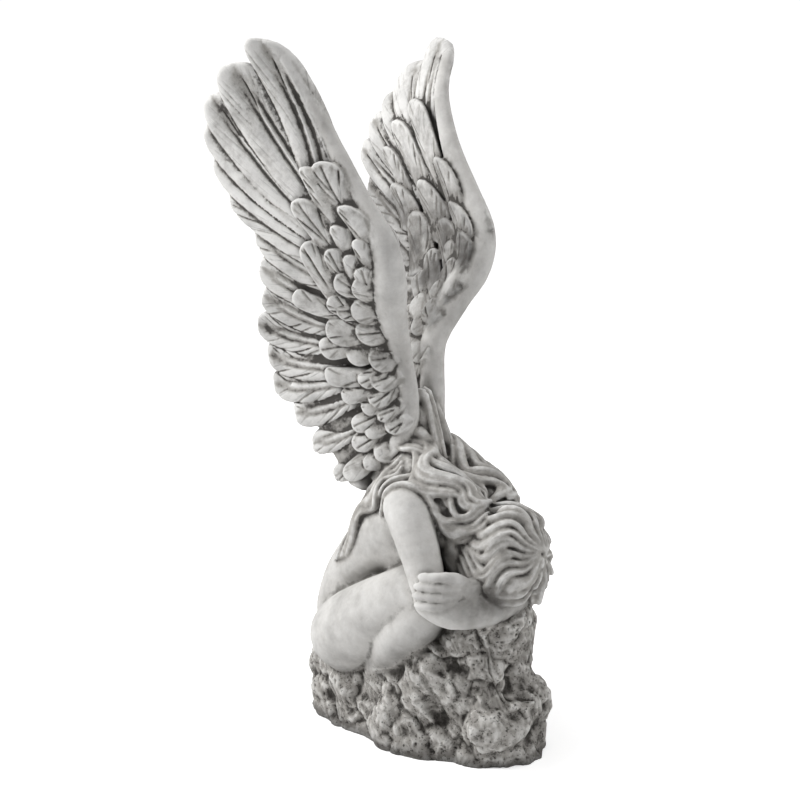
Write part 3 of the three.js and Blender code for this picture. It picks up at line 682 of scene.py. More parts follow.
@dataclass
class Carvings:
    """The fine cuts in the feathers: quills, barbs, splits and raised rims.

    A point's notes say how far along and across its feather it lies, and the feather's number.
    """

    sizes: list[tuple[float, float, float, int]] = field(default_factory=list)

    def add(self, length: float, half: float, cap: float, cut: Cut) -> None:
        """Notes one feather's length, half its width, its tip's share of the length and its cut."""
        self.sizes.append((length, half, cap, cut.value))

    @staticmethod
    def chance(*keys: Values) -> Values:
        """Makes a draw that is always the same for the same keys.

        Args:
            keys: Up to three whole numbers for each draw.

        Returns:
            The draws, from 0 to 1.
        """
        turns = (12.9898, 78.233, 37.719)
        mixed = sum(np.sin(key * turn + turn) for key, turn in zip(keys, turns))
        return np.modf(np.abs(mixed) * 4375.85)[0]

    def spots(self, notes: np.ndarray) -> Spots:
        """Finds the feathers that points lie on.

        Args:
            notes: The points' notes.

        Returns:
            The places on the feathers, with the feathers' own sizes.
        """
        along, across, number = notes.T
        index = np.clip(np.round(number).astype(int), 0, len(self.sizes) - 1)
        length, half, cap, cut = np.array(self.sizes)[index].T
        return Spots(along, across, index, length, half, cap, cut.astype(int))

    def grain(self, notes: np.ndarray) -> np.ndarray:
        """Works out how the strokes of the barbs run.

        Args:
            notes: The points' notes.

        Returns:
            How far across and along the barbs each point lies, and its feather's number.
        """
        spots = self.spots(notes)
        slant = spots.chisel("slant")
        over = (spots.along - slant * spots.off) / np.sqrt(1 + slant**2)
        return np.stack([over, spots.off, notes[:, 2]], 1)

    def relief(self, notes: np.ndarray) -> Values:
        """Returns how far the feathers' faces stand out or are cut in.

        Args:
            notes: The points' notes.

        Returns:
            The height of the relief at each point.
        """
        spots = self.spots(notes)
        quill, gutter = self.quill(spots)
        slit, furrow = self.splits(spots)
        petal = spots.cut == Cut.PETAL.value
        round_vane = np.sin(math.pi * np.clip(spots.off / spots.half, 0, 1))
        vane = np.where(petal, step_up(0.95 - spots.rim, 0, 0.6), round_vane)
        swell = spots.chisel("swell") * vane
        uneven = 0.35 + 1.1 * self.chance(spots.index, spots.side + 7)
        lip = spots.chisel("lip") * uneven * crest(spots.rim - 0.88, 0.1)
        return quill + swell + lip - gutter - self.barbs(spots) - slit - furrow

    @staticmethod
    def quill(spots: Spots) -> tuple[Values, Values]:
        """Works out the quill, which thins toward the tip, and the gutters beside it.

        Args:
            spots: Places on the feathers.

        Returns:
            The quill's height and the gutters' depth at each point.
        """
        share, off = spots.share, spots.off
        fade = step_up(0.9 - share, 0, 0.25)
        thick = spots.chisel("quill") * (1.15 - 0.6 * share)
        gutter = spots.chisel("gutter") * crest(off - 4.6, 1.8) * fade
        return thick * crest(off, 1.0 + 1.5 * (1 - share)) * fade, gutter

    def splits(self, spots: Spots) -> tuple[Values, Values]:
        """Works out the slits near the tips of broad feathers, and the furrows in some petals.

        Args:
            spots: Places on the feathers.

        Returns:
            The slits' and the furrows' depth at each point.
        """
        share, index = spots.share, spots.index
        middle = spots.across - 2.0 * np.sin(spots.along / 15 + index)
        slit = spots.chisel("slit") * step_up(share, 0.7, 0.78)
        slit = slit * crest(middle, 0.8) * step_up(0.92 - share, 0, 0.06)
        split = self.chance(index, index + 5)
        furrowed = (spots.cut == Cut.PETAL.value) & (split > 0.6)
        furrow = np.where(furrowed, 1.3 * split, 0) * step_up(0.8 - spots.rim, 0, 0.2)
        furrow = furrow * crest(spots.across - (split - 0.7) * spots.half, 1.0)
        return slit, furrow * step_up(share, 0.3, 0.5)

    def barbs(self, spots: Spots) -> Values:
        """Returns the depth of the slanting strokes between a feather's barbs.

        Args:
            spots: Places on the feathers.

        Returns:
            The depth at each point.
        """
        index, side, off = spots.index, spots.side, spots.off
        slant = spots.chisel("slant") * (0.8 + 0.45 * self.chance(index + 2, side))
        gap = spots.chisel("gap") * (0.85 + 0.5 * self.chance(index, index + 9))
        wobble = 1.6 * np.sin(off / 4.1 + 6 * self.chance(index, side))
        wobble = wobble + 1.5 * np.sin(spots.along / 9.3 + index)
        line = (spots.along - slant * off + wobble) / (gap * np.sqrt(1 + slant**2))
        line = line + 9 * self.chance(index, side + 3)
        rank = np.floor(line)
        near = (line - rank - 0.5) * gap
        draw = self.chance(index, side, rank)
        strength = spots.chisel("least") + spots.chisel("spread") * draw**2
        begins = spots.chisel("begins") + 0.3 * self.chance(rank, index, side)
        petal = spots.cut == Cut.PETAL.value
        whole = np.where(petal, step_up(0.95 - spots.rim, 0, 0.15), 1)
        reach = step_up(off / spots.half, begins, begins + 0.2) * whole
        return spots.chisel("barb") * strength * reach * crest(near, 0.85)


def feathers(*rows: Numbers) -> tuple[Feather, ...]:
    """Returns feathers from rows of back, up, lean, length, half and, where there is one, extra."""
    return tuple(Feather(*row) for row in rows)


FLIGHT = feathers(
    (15, 686, -11, 172, 21, 6), (59, 664, 8, 160, 31, -2), (105, 634, 23, 148, 27, -10),
    (130, 606, 35, 134, 23, 4), (142, 574, 45, 122, 21, 27), (149, 538, 54, 112, 19, 32),
    (145, 503, 63, 102, 17, 34), (152, 471, 71, 98, 16.5, 28), (152, 441, 76, 98, 16, 18),
    (163, 408, 84, 104, 16, 6), (158, 376, 89, 98, 16), (157, 346, 98, 92, 15.5),
    (132, 318, 106, 80, 15), (104, 289, 116, 62, 13.5), (68, 259, 138, 44, 11),
)
OUTER = feathers(
    (20, 574, 0, 66, 14.5), (37, 569, -2, 72, 10.1), (64, 539, 6, 62, 14),
    (85, 498, 28, 63, 12.9), (20, 534, -9, 42, 9.5), (40, 515, 0, 30, 9.7),
    (60, 493, 29, 31, 9.3), (42, 488, 9, 30, 7.5), (28, 503, 2, 33, 7.5), (34, 476, 20, 30, 7.5),
    (62, 465, 56, 30, 10.3), (44, 461, 59, 30, 9.4), (110, 444, 77, 55, 9.3),
    (71, 441, 82, 41, 9.1), (62, 429, 100, 30, 7.7), (47, 433, 90, 35, 12.1),
    (77, 410, 94, 55, 11.7), (45, 407, 104, 39, 12.3), (87, 387, 96, 55, 9.1),
    (58, 381, 106, 38, 11), (36, 379, 114, 31, 10.6), (87, 361, 101, 60, 9.1),
    (50, 356, 132, 42, 7.5), (38, 357, 121, 35, 8.9), (71, 341, 110, 46, 8.5),
    (41, 337, 122, 32, 8), (49, 329, 135, 38, 8.6), (34, 324, 126, 30, 8.2),
    (59, 312, 127, 47, 9.5), (24, 312, 133, 30, 9.4), (44, 306, 129, 33, 8.7),
    (54, 292, 124, 38, 9.6), (30, 286, 123, 39, 10.8), (38, 276, 133, 30, 9),
    (52, 261, 148, 39, 10.4),
)
INNER = feathers(
    (44, 626, -2, 96, 20), (85, 604, -9, 82, 17.2), (19, 569, -16, 60, 18),
    (115, 576, -8, 66, 15.7), (65, 544, -21, 57, 21), (118, 538, -11, 46, 17.9),
    (19, 526, -12, 46, 17), (111, 511, 21, 56, 21), (55, 509, 9, 37, 21), (21, 499, 2, 42, 13.5),
    (84, 474, 48, 51, 11.1), (44, 468, 54, 56, 12.4), (85, 452, 57, 50, 8.1),
    (44, 446, 64, 48, 9.6), (63, 430, 60, 42, 7.9), (35, 429, 57, 50, 11.7),
    (51, 487, 28, 29, 13.5),
)
LOWER = 424.0  # the height below which a wing's two faces are covered alike


@dataclass
class Wing:
    """One raised wing: a smooth arm along the front edge, and rows of feathers behind it."""

    side: Side
    carvings: Carvings
    splay: float = 0.26  # how far the wing swings outward for each millimetre that it runs back
    run: float = 0.966  # how far it runs back for each millimetre of its breadth
    camber: float = 6.0  # how far its face bows outward
    breadth: float = 150.0  # of the stretch that bows
    blade: float = 5.0  # half the thickness of the blade that carries the feathers
    blade_stations: Sequence = (  # back, up and half the breadth
        (34, 246, 20), (54, 290, 42), (72, 340, 60), (74, 400, 64), (72, 460, 64), (68, 520, 56),
        (54, 575, 46), (44, 630, 34),
    )
    front_edge: Stations = (
        (26, 18, 250, 17), (18, 4, 300, 16), (17, 1, 341, 13), (24, 5, 391, 13),
        (44, -6, 432, 16), (60, -19, 464, 17), (70, -17, 497, 16), (78, 8, 537, 13),
        (84, 36, 584, 10), (98, 59, 632, 8), (132, 74, 687, 6),
    )
    rng: np.random.Generator = field(init=False)
    edge: np.ndarray = field(init=False)

    def __post_init__(self) -> None:
        """Starts the wing's own small irregularities, and smooths its front edge."""
        self.rng = np.random.default_rng(SEED + self.side.value)
        self.edge = smooth_values(self.front_edge, np.linspace(0, 1, 200))

    def face(self) -> np.ndarray:
        """Returns the direction out of the wing's outer face."""
        return unit(np.array([self.side.value, -self.splay, 0.0]))

    def place(self, back: Values, up: Values, lift: Values) -> Points:
        """Returns points on the wing.

        Args:
            back: How far each lies behind the front edge.
            up: How far each lies above the ground.
            lift: How far each stands off the wing's middle plane, outward.

        Returns:
            The points.
        """
        top, below = self.edge[-1], self.edge[-8]
        slope = (top - below) / (top[2] - below[2])
        over = np.maximum(up - top[2], 0)
        edge_x, edge_y = (np.interp(up, self.edge[:, 2], self.edge[:, i]) for i in (0, 1))
        out, y = edge_x + slope[0] * over, edge_y + slope[1] * over
        camber = self.camber * np.sin(math.pi * np.clip(back / self.breadth, 0, 1))
        x = self.side.value * (out + self.splay * back + camber)
        plane = np.stack([x, y + self.run * back, up], 1)
        return plane + self.face() * np.asarray(lift)[:, None]

    def add_feather(self, heap: Heap, sweep: Sweep, feather: Feather, row: Row) -> None:
        """Lays one feather: a flat petal with a round tip.

        Args:
            heap: Where the feather goes.
            sweep: The ball that it is drawn from.
            feather: Its place and size.
            row: How its row lies on the wing.
        """
        t, angle = sweep.share, sweep.angle
        length = feather.length * row.stretch * (1 + 0.03 * self.rng.standard_normal())
        covert = 1.0 if row.lift else 0.2
        half = feather.half * row.spread * (1 + 0.09 * covert * self.rng.standard_normal())
        lean = math.radians(feather.lean + (1 + 6 * covert) * self.rng.standard_normal())
        sine, cosine = math.sin(lean), math.cos(lean)
        back_tip = feather.back + (feather.extra if self.side is Side.LEFT else 0)
        if row.lift and sine > 0.3:
            length = min(length, max(back_tip - 8, 18) / sine)

        cap = min(0.5, row.tip_length * half / length)
        toward_tip = np.clip((t - 1 + cap) / cap, 0, 1)
        root = 0.72 + 0.28 * np.sin(np.clip(t / (1 - cap), 0, 1) * math.pi / 2)
        outline = root * np.maximum(0, 1 - toward_tip**2.3) ** 0.5 * np.clip(t / 0.03, 0, 1) ** 0.5
        across, over = np.cos(angle), np.sin(angle)
        width = across * half * outline
        depth = np.sign(over) * row.thickness * np.maximum(0, 1 - np.abs(across) ** 3.5) ** 0.5
        depth = depth * np.minimum(1, outline * 1.6) * sweep.open

        left = (1 - t) * length
        bow = 0.05 * length * np.sin(math.pi * t) * math.copysign(1, feather.lean)
        back = back_tip - left * sine + bow * cosine + width * cosine
        up = feather.up - left * cosine - bow * sine - width * sine
        piled = row.lift + row.pile * max(0.0, 1 - feather.back / 110)
        piled = piled * (1 - 0.5 * step_up(feather.up, 520, 620))
        lift = piled + row.rise * t - row.shingle * width + depth
        notes = np.stack([t * length, width, np.full_like(t, len(self.carvings.sizes))], 1)
        flight = Cut.BROAD if feather.lean < 50 else Cut.LEAF
        self.carvings.add(length, half, cap, Cut.PETAL if row.lift else flight)
        heap.add(sweep, self.place(back, up, lift), notes)

    def add_feathers(self, heap: Heap) -> None:
        """Carves every row of feathers on both faces of the wing.

        Args:
            heap: Where the feathers go.
        """
        long, short = Sweep(32, 48), Sweep(28, 30)
        flight = Row(FLIGHT, 0, 0, 5.0, self.side.value * 0.14, 1.0, 1.14, 1.1)
        outer = Row(OUTER, 4.5, 7.0, 3.4, -0.14, 1.2, 1.16, 1.0, 1.5)
        low = tuple(feather for feather in OUTER if feather.up < LOWER)
        under = replace(outer, feathers=low, lift=-4.5, rise=-7.0, shingle=0.14, pile=-1.5)
        inner = Row(INNER, -6.0, -5.0, 3.6, -0.06, 1.12, 1.1, 1.0, -6.0)
        for sweep, row in ((long, flight), (short, outer), (short, under), (short, inner)):
            for feather in row.feathers:
                self.add_feather(heap, sweep, feather, row)

    def add_arm(self, heap: Heap) -> None:
        """Carves the smooth arm along the wing's front edge.

        Args:
            heap: Where the arm goes.
        """
        sweep = Sweep(24, 80)
        edge = np.array(self.front_edge)
        girths = edge[:, 3]
        up = edge[:, 2].copy()
        up[-1] -= 12
        breadths = girths + 2.5 * crest(up - 465, 55)
        path = self.place(0.85 * breadths, up, np.full(len(up), -1.0))
        centre = smooth_values(path, sweep.share)
        girth = smooth_values(girths, sweep.share) * sweep.open
        breadth = smooth_values(breadths, sweep.share) * sweep.open
        girth = girth * (0.88 - 0.1 * step_up(centre[:, 2], 440, 540))
        points = lay_round(sweep, path, centre, np.array([0.0, -1.0, 0.0]), girth, breadth)
        heap.add(sweep, points, np.zeros((len(points), 3)))

    def add_blade(self, heap: Heap) -> None:
        """Carves the plain blade that carries the feathers.

        Args:
            heap: Where the blade goes.
        """
        sweep = Sweep(24, 48)
        back, up, half = smooth_values(self.blade_stations, sweep.share).T
        half = half * np.sin(np.clip(sweep.share, 0.04, 0.96) * math.pi) ** 0.3
        back = back + np.cos(sweep.angle) * half * sweep.open
        thin = self.blade * (1 - 0.8 * step_up(up, 520, 600))
        lift = np.sin(sweep.angle) * thin * sweep.open
        heap.add(sweep, self.place(back, up, lift), np.full((len(lift), 3), -1.0))


def lay_round(
    sweep: Sweep, path: Points, centre: Points, depth_way: Points, half_width: Values, half_depth: Values
) -> Points:
    """Lays a sweep's rings along a curve.

    Args:
        sweep: The ball.
        path: The stations of the curve.
        centre: The curve's place at each of the ball's points.
        depth_way: The direction of the depth, for all points or for each.
        half_width: Half the width at each point.
        half_depth: Half the depth at each point.

    Returns:
        The places of the ball's points.
    """
    step = 1e-3
    ahead = smooth_values(path, np.minimum(sweep.share + step, 1))
    behind = smooth_values(path, np.maximum(sweep.share - step, 0))
    tangent = unit(ahead - behind)
    depth_way = np.broadcast_to(depth_way, centre.shape)
    depth_way = unit(depth_way - (depth_way * tangent).sum(1, keepdims=True) * tangent)
    width_way = np.cross(depth_way, tangent)
    wide = (np.cos(sweep.angle) * half_width)[:, None] * width_way
    deep = (np.sin(sweep.angle) * half_depth)[:, None] * depth_way
    return centre + wide + deep


# ---- Hair and hands ----


@dataclass(frozen=True)
class LockFamily:
    """Locks that lie side by side between two guide curves, with their waves in step."""

    first: tuple
    last: tuple
    count: int
    girth: float
    waves: float  # how many waves there are along a lock
    sway: float  # how far they swing to each side
    lift: float = 0.3  # how far the locks stand off the hair's mass, as a share of their girth
    taper: float = 0.6  # how fast the ends grow; less is blunter
    phase: float = 0.0
    lag: float = 0.35  # how far each lock's waves fall behind the last one's, in radians


SIDE_LOCKS = (  # the two guides, written for +X, and the values of each family at the sides
    (  # outside the shoulder
        ((62, 14, 232), (66, 0, 256), (60, -20, 270), (57, -40, 262), (58, -54, 240)),
        ((52, 18, 244), (56, 2, 266), (50, -20, 280), (47, -42, 272), (46, -60, 248)),
        2, 4.6, 1.2, 2.5,
    ),
    (  # down the flank
        ((40, 0, 280), (50, 14, 262), (54, 30, 240), (50, 48, 214), (48, 64, 178)),
        ((18, 10, 290), (28, 24, 262), (36, 44, 236), (38, 62, 206), (36, 78, 166)),
        6, 3.8, 2.4, 4.5, 0.4, 0.5, 0.8, 0.6,
    ),
    (  # from the side of the head to the shoulder
        ((12, -84, 246), (38, -77, 238), (49, -64, 234), (51, -53, 246), (47, -36, 268)),
        ((26, -97, 230), (38, -87, 222), (46, -74, 219), (50, -62, 228), (49, -52, 244)),
        4, 4.8, 1.5, 3.0, 0.5, 0.6, 0.8, 0.2,
    ),
    (  # up the root of the wing
        ((12, -6, 300), (18, -2, 320), (20, 2, 340), (22, 8, 362)),
        ((4, 6, 296), (14, 18, 318), (22, 26, 334), (30, 32, 352)),
        4, 4.0, 1.2, 4, 0.2, 0.5, 0.4,
    ),
)


@dataclass
class Hair:
    """Long wavy hair: a whorl on the crown, and locks down to the roots of the wings."""

    figure: Figure
    crown: tuple = (0.0, -137.0, 206.0)
    spine: tuple = ((0, 85, 95), (0, 60, 160), (0, 8, 215), (0, -40, 226), (0, -91, 193))
    rings: int = 64
    head_locks: int = 22
    cheek_locks: int = 6
    border_locks: int = 4
    rng: np.random.Generator = field(default_factory=lambda: np.random.default_rng(SEED))

    def settle(self, points: Points) -> tuple[Points, Points]:
        """Moves points onto the figure, outward from the line inside its back, neck and head.

        Args:
            points: Where the points start.

        Returns:
            Their places on the figure, and the ways outward there.
        """
        spine = np.array(self.spine, float)
        best = np.full(len(points), np.inf)
        heart = np.zeros_like(points)
        for a, b in zip(spine[:-1], spine[1:]):
            share = np.clip((points - a) @ (b - a) / ((b - a) @ (b - a)), 0, 1)
            near = a + share[:, None] * (b - a)
            far = np.linalg.norm(points - near, axis=1)
            closer = far < best
            best = np.where(closer, far, best)
            heart[closer] = near[closer]
        outward = unit(points - heart)
        place = heart + 110 * outward
        for _ in range(30):
            place = place - 0.85 * self.figure.distance(place)[:, None] * outward
        return place, outward

    def on_head(self, turns: Values, polars: Values) -> tuple[Points, Points]:
        """Returns points on the head.

        Args:
            turns: Which way round the crown each lies, 0 toward the nape.
            polars: The angle from the crown to each, at the head's centre.

        Returns:
            The points, and the ways outward there.
        """
        centre = np.array(self.figure.skull.centre) + [-3, -2, -5]
        axis = unit(np.array(self.crown) - centre)
        over = unit(np.array([0, 1, 0]) - axis * axis[1])
        beside = np.cross(axis, over)
        outward = np.cos(polars)[:, None] * axis + np.sin(polars)[:, None] * (
            np.cos(turns)[:, None] * over + np.sin(turns)[:, None] * beside
        )
        place = centre + 90 * outward
        for _ in range(24):
            place = place - 0.9 * self.figure.head(place)[:, None] * outward
        return place, outward

    @staticmethod
    def mane(out: float, wing: float) -> tuple:
        """Returns a guide from the nape over a shoulder, out to one side, to a wing's root."""
        return (
            (0.2 * out, -82, 250), (0.78 * out, -68, 246), (out, -46, 262),
            (0.88 * out, -24, 282), (0.72 * out, 2, 294), (wing, 20, 322),
        )

    def families(self) -> list[LockFamily]:
        """Lays out the locks on the neck, shoulders, back and flanks.

        Returns:
            The families of locks, each with its guides.
        """
        mane = self.mane
        found = [
            LockFamily(mane(-54, -30), mane(54, 30), 12, 5.3, 2.3, 10.5, 0.75, lag=0.2),
            LockFamily(mane(-46, -24), mane(46, 24), 6, 4.0, 2.3, 10.0, 1.4, 0.5, 0.9, 0.25),
        ]
        for side in Side:
            for first, last, *values in SIDE_LOCKS:
                guides = [tuple((side.value * x, y, z) for x, y, z in edge) for edge in (first, last)]
                found.append(LockFamily(*guides, *values))
        left = ((8, 14, 288), (18, 30, 256), (22, 50, 226), (20, 76, 190))
        right = tuple((-x, y, z) for x, y, z in left)
        found.append(LockFamily(right, left, 5, 5.0, 2.0, 5))
        return found

    def add_to(self, heap: Heap) -> None:
        """Carves all the locks.

        Args:
            heap: Where the locks go.
        """
        sweep = Sweep(22, self.rings)
        stops = np.linspace(0, 1, 22)
        for family in self.families():
            first, last = smooth_values(family.first, stops), smooth_values(family.last, stops)
            rank = np.arange(family.count)
            across = (rank / (family.count - 1))[:, None, None]
            place, outward = self.settle((first + (last - first) * across).reshape(-1, 3))
            shape = (family.count, len(stops), 3)
            along = np.gradient(place.reshape(shape), axis=1).reshape(-1, 3)
            sideways = unit(np.cross(outward, along))
            late = (family.lag * rank + 0.3 * self.rng.standard_normal(family.count))[:, None]
            angle = 2 * math.pi * family.waves * stops + family.phase + late
            swing = family.sway * np.sin(angle) * np.minimum(1, 5 * stops)
            swing = swing * (1 - 0.6 * step_up(stops, 0.7, 1))
            place, outward = self.settle(place + swing.reshape(-1, 1) * sideways)
            girths = family.girth * (1 + 0.16 * self.rng.standard_normal(family.count))
            rise = family.lift * girths[:, None] + 1.2 * np.cos(angle)
            path = (place + rise.reshape(-1, 1) * outward).reshape(shape)
            for lock, out, girth in zip(path, outward.reshape(shape), girths):
                self.add_lock(heap, sweep, lock, out, girth, family.taper)
        self.add_head_locks(heap, sweep)
        self.add_cheek_locks(heap, sweep)

    def add_cheek_locks(self, heap: Heap, sweep: Sweep) -> None:
        """Carves the locks that hang between each upper arm and the face.

        Args:
            heap: Where the locks go.
            sweep: The ball that they are drawn from.
        """
        stops = np.linspace(0, 1, 16)
        near = np.array([(34, -52, 246), (46, -50, 224), (45, -54, 204), (42, -66, 182)], float)
        rear = np.array([(22, -84, 236), (33, -76, 222), (35, -76, 202), (36, -84, 182)], float)
        for side in Side:
            for rank in range(self.cheek_locks):
                guide = smooth_values(near + (rear - near) * rank / (self.cheek_locks - 1), stops)
                guide[:, 0] += 2.6 * np.sin(2.4 * math.pi * stops + 1.3 * rank)
                guide[:, 1] += 3.0 * np.cos(2.4 * math.pi * stops + 0.9 * rank)
                outward = unit(np.array([side.value, -0.5, 0.1]))
                path = guide * [side.value, 1, 1]
                girth = 4.8 * (1 + 0.12 * self.rng.standard_normal())
                self.add_lock(heap, sweep, path, np.tile(outward, (len(stops), 1)), girth, 0.4)

    def add_head_locks(self, heap: Heap, sweep: Sweep) -> None:
        """Carves the locks that run back from the whorl over the head, in two layers.

        Args:
            heap: Where the locks go.
            sweep: The ball that they are drawn from.
        """
        stops = np.linspace(0, 1, 26)
        rim_turns = [0.99, 0.94, 0.86, 0.77, 0.66, 0.53, 0.42]
        rim_polars = [0.35, 0.85, 1.15, 1.45, 1.78, 2.1, 2.35]
        for layer, count in enumerate((self.head_locks, 2 * self.head_locks // 3)):
            for i in range(count):
                turn = 2 * math.pi * (i + 0.4 * layer) / count
                begin = 0.05 + layer * self.rng.uniform(0.15, 0.7)
                low = abs(math.remainder(turn + 0.3, 2 * math.pi)) / math.pi
                limit = np.interp(low, rim_turns[::-1], rim_polars[::-1]) - 0.07
                end = limit if layer == 0 else min(limit, begin + self.rng.uniform(0.9, 1.3))
                polars = begin + (end - begin) * stops
                phase = 0.6 * math.sin(2 * turn) + 0.25 * self.rng.standard_normal()
                angle = 5.4 * polars + phase
                swing = 0.16 * np.sin(angle) * np.minimum(1, 1.6 * polars)
                swirl = 0.35 * (1 - np.exp(-1.3 * polars))
                place, outward = self.on_head(turn + swirl + swing, polars)
                girth = (5.2 if layer == 0 else 4.1) * (1 + 0.16 * self.rng.standard_normal())
                grow = np.clip(0.22 + 0.85 * polars / 1.1, 0, 1)
                rise = (0.6 + 0.8 * layer) * girth * grow + 1.3 * np.cos(angle)
                rise = rise - 1.4 * girth * step_up(stops, 0.82, 1.0)
                path = place + rise[:, None] * outward
                self.add_lock(heap, sweep, path, outward, girth * grow, 0.35)
        for side in Side:
            for rank in range(self.border_locks):
                turns = smooth_values(rim_turns, stops) - 0.05 * rank
                polars = smooth_values(rim_polars, stops) - 0.06 * rank
                polars = polars + 0.05 * np.sin(11 * stops + 0.8 * rank)
                place, outward = self.on_head(side.value * math.pi * turns, polars)
                girth = 5.0 - 0.3 * rank
                rise = girth * ((1.4 - 0.1 * rank) * step_up(stops, 0, 0.3) - 0.4)
                path = place + rise[:, None] * outward
                self.add_lock(heap, sweep, path, outward, girth, 0.5)

    def add_lock(
        self, heap: Heap, sweep: Sweep, path: Points, out: Points, girth: Values | float, taper: float
    ) -> None:
        """Carves one lock: a round strand with finer strands in it, pointed at its ends.

        Args:
            heap: Where the lock goes.
            sweep: The ball that it is drawn from.
            path: The lock's middle line.
            out: The ways out of the figure along it.
            girth: The lock's radius, for all of it or at each stop.
            taper: How fast its ends grow; less than 1 is blunter.
        """
        t = sweep.share
        girth = smooth_values(np.broadcast_to(girth, len(path)).copy(), t)
        body = 0.12 + 0.88 * np.sin(math.pi * np.clip(t, 0, 1)) ** taper
        strands = 1 + 0.11 * np.cos(3 * sweep.angle + 5 * t + len(heap.notes))
        girth = girth * body * strands * sweep.open
        centre = smooth_values(path, t)
        points = lay_round(sweep, path, centre, smooth_values(out, t), 0.9 * girth, girth)
        length = np.linalg.norm(np.diff(path, axis=0), axis=1).sum()
        notes = np.stack([length * t, sweep.angle, np.full_like(t, len(heap.notes))], 1)
        heap.add(sweep, points, notes)


@dataclass(frozen=True)
class Hand:
    """A hand that closes on the other arm, with four fingers side by side."""

    wrist: Triple
    knuckles: Triple
    tips: Triple
    back: Triple
    reaches: Numbers = (0.86, 0.98, 1.0, 0.9)  # of the four fingers, beside the longest
    places: Numbers = (-1.5, -0.5, 0.5, 1.5)  # of the fingers, counted from the middle
    finger_step: float = 9.4
    girths: Numbers = (5, 8.0, 5.2, 4.3, 3.7)
    joints: Numbers = (0.5, 0.68, 0.85)  # as shares of the way to the tip

    def add_to(self, heap: Heap) -> None:
        """Carves the fingers, from the wrist to their tips.

        Args:
            heap: Where the fingers go.
        """
        sweep = Sweep(18, 44)
        back = np.array(self.back)
        for reach, place in zip(self.reaches, self.places):
            spread = np.array([0, place, -self.finger_step * place])
            knuckle = np.array(self.knuckles) + spread
            tip = knuckle + reach * (np.array(self.tips) + spread - knuckle)
            bend = (knuckle + tip) / 2 + 3 * back
            start = np.array(self.wrist) + 0.35 * spread
            palm = (start + knuckle) / 2 + 1.5 * back
            path = np.array([start, palm, knuckle, bend, tip])
            girth = smooth_values(self.girths, sweep.share)
            joints = sum(crest(sweep.share - at, 0.045) for at in self.joints)
            rounded = np.minimum(1, ((1 - sweep.share) / 0.09)) ** 0.5
            girth = (girth + 0.45 * joints) * rounded * sweep.open
            centre = smooth_values(path, sweep.share)
            points = lay_round(sweep, path, centre, back, girth, girth)
            heap.add(sweep, points, np.zeros((len(points), 3)))


HANDS = (
    Hand((-56, -93, 177), (-82, -84, 178), (-91, -54, 176), (-1, -0.2, 0.1)),
    Hand((30, -100, 166), (52, -86, 168), (80, -62, 168), (0.6, -0.8, 0.1)),
)


# ---- Stone's roughness ----


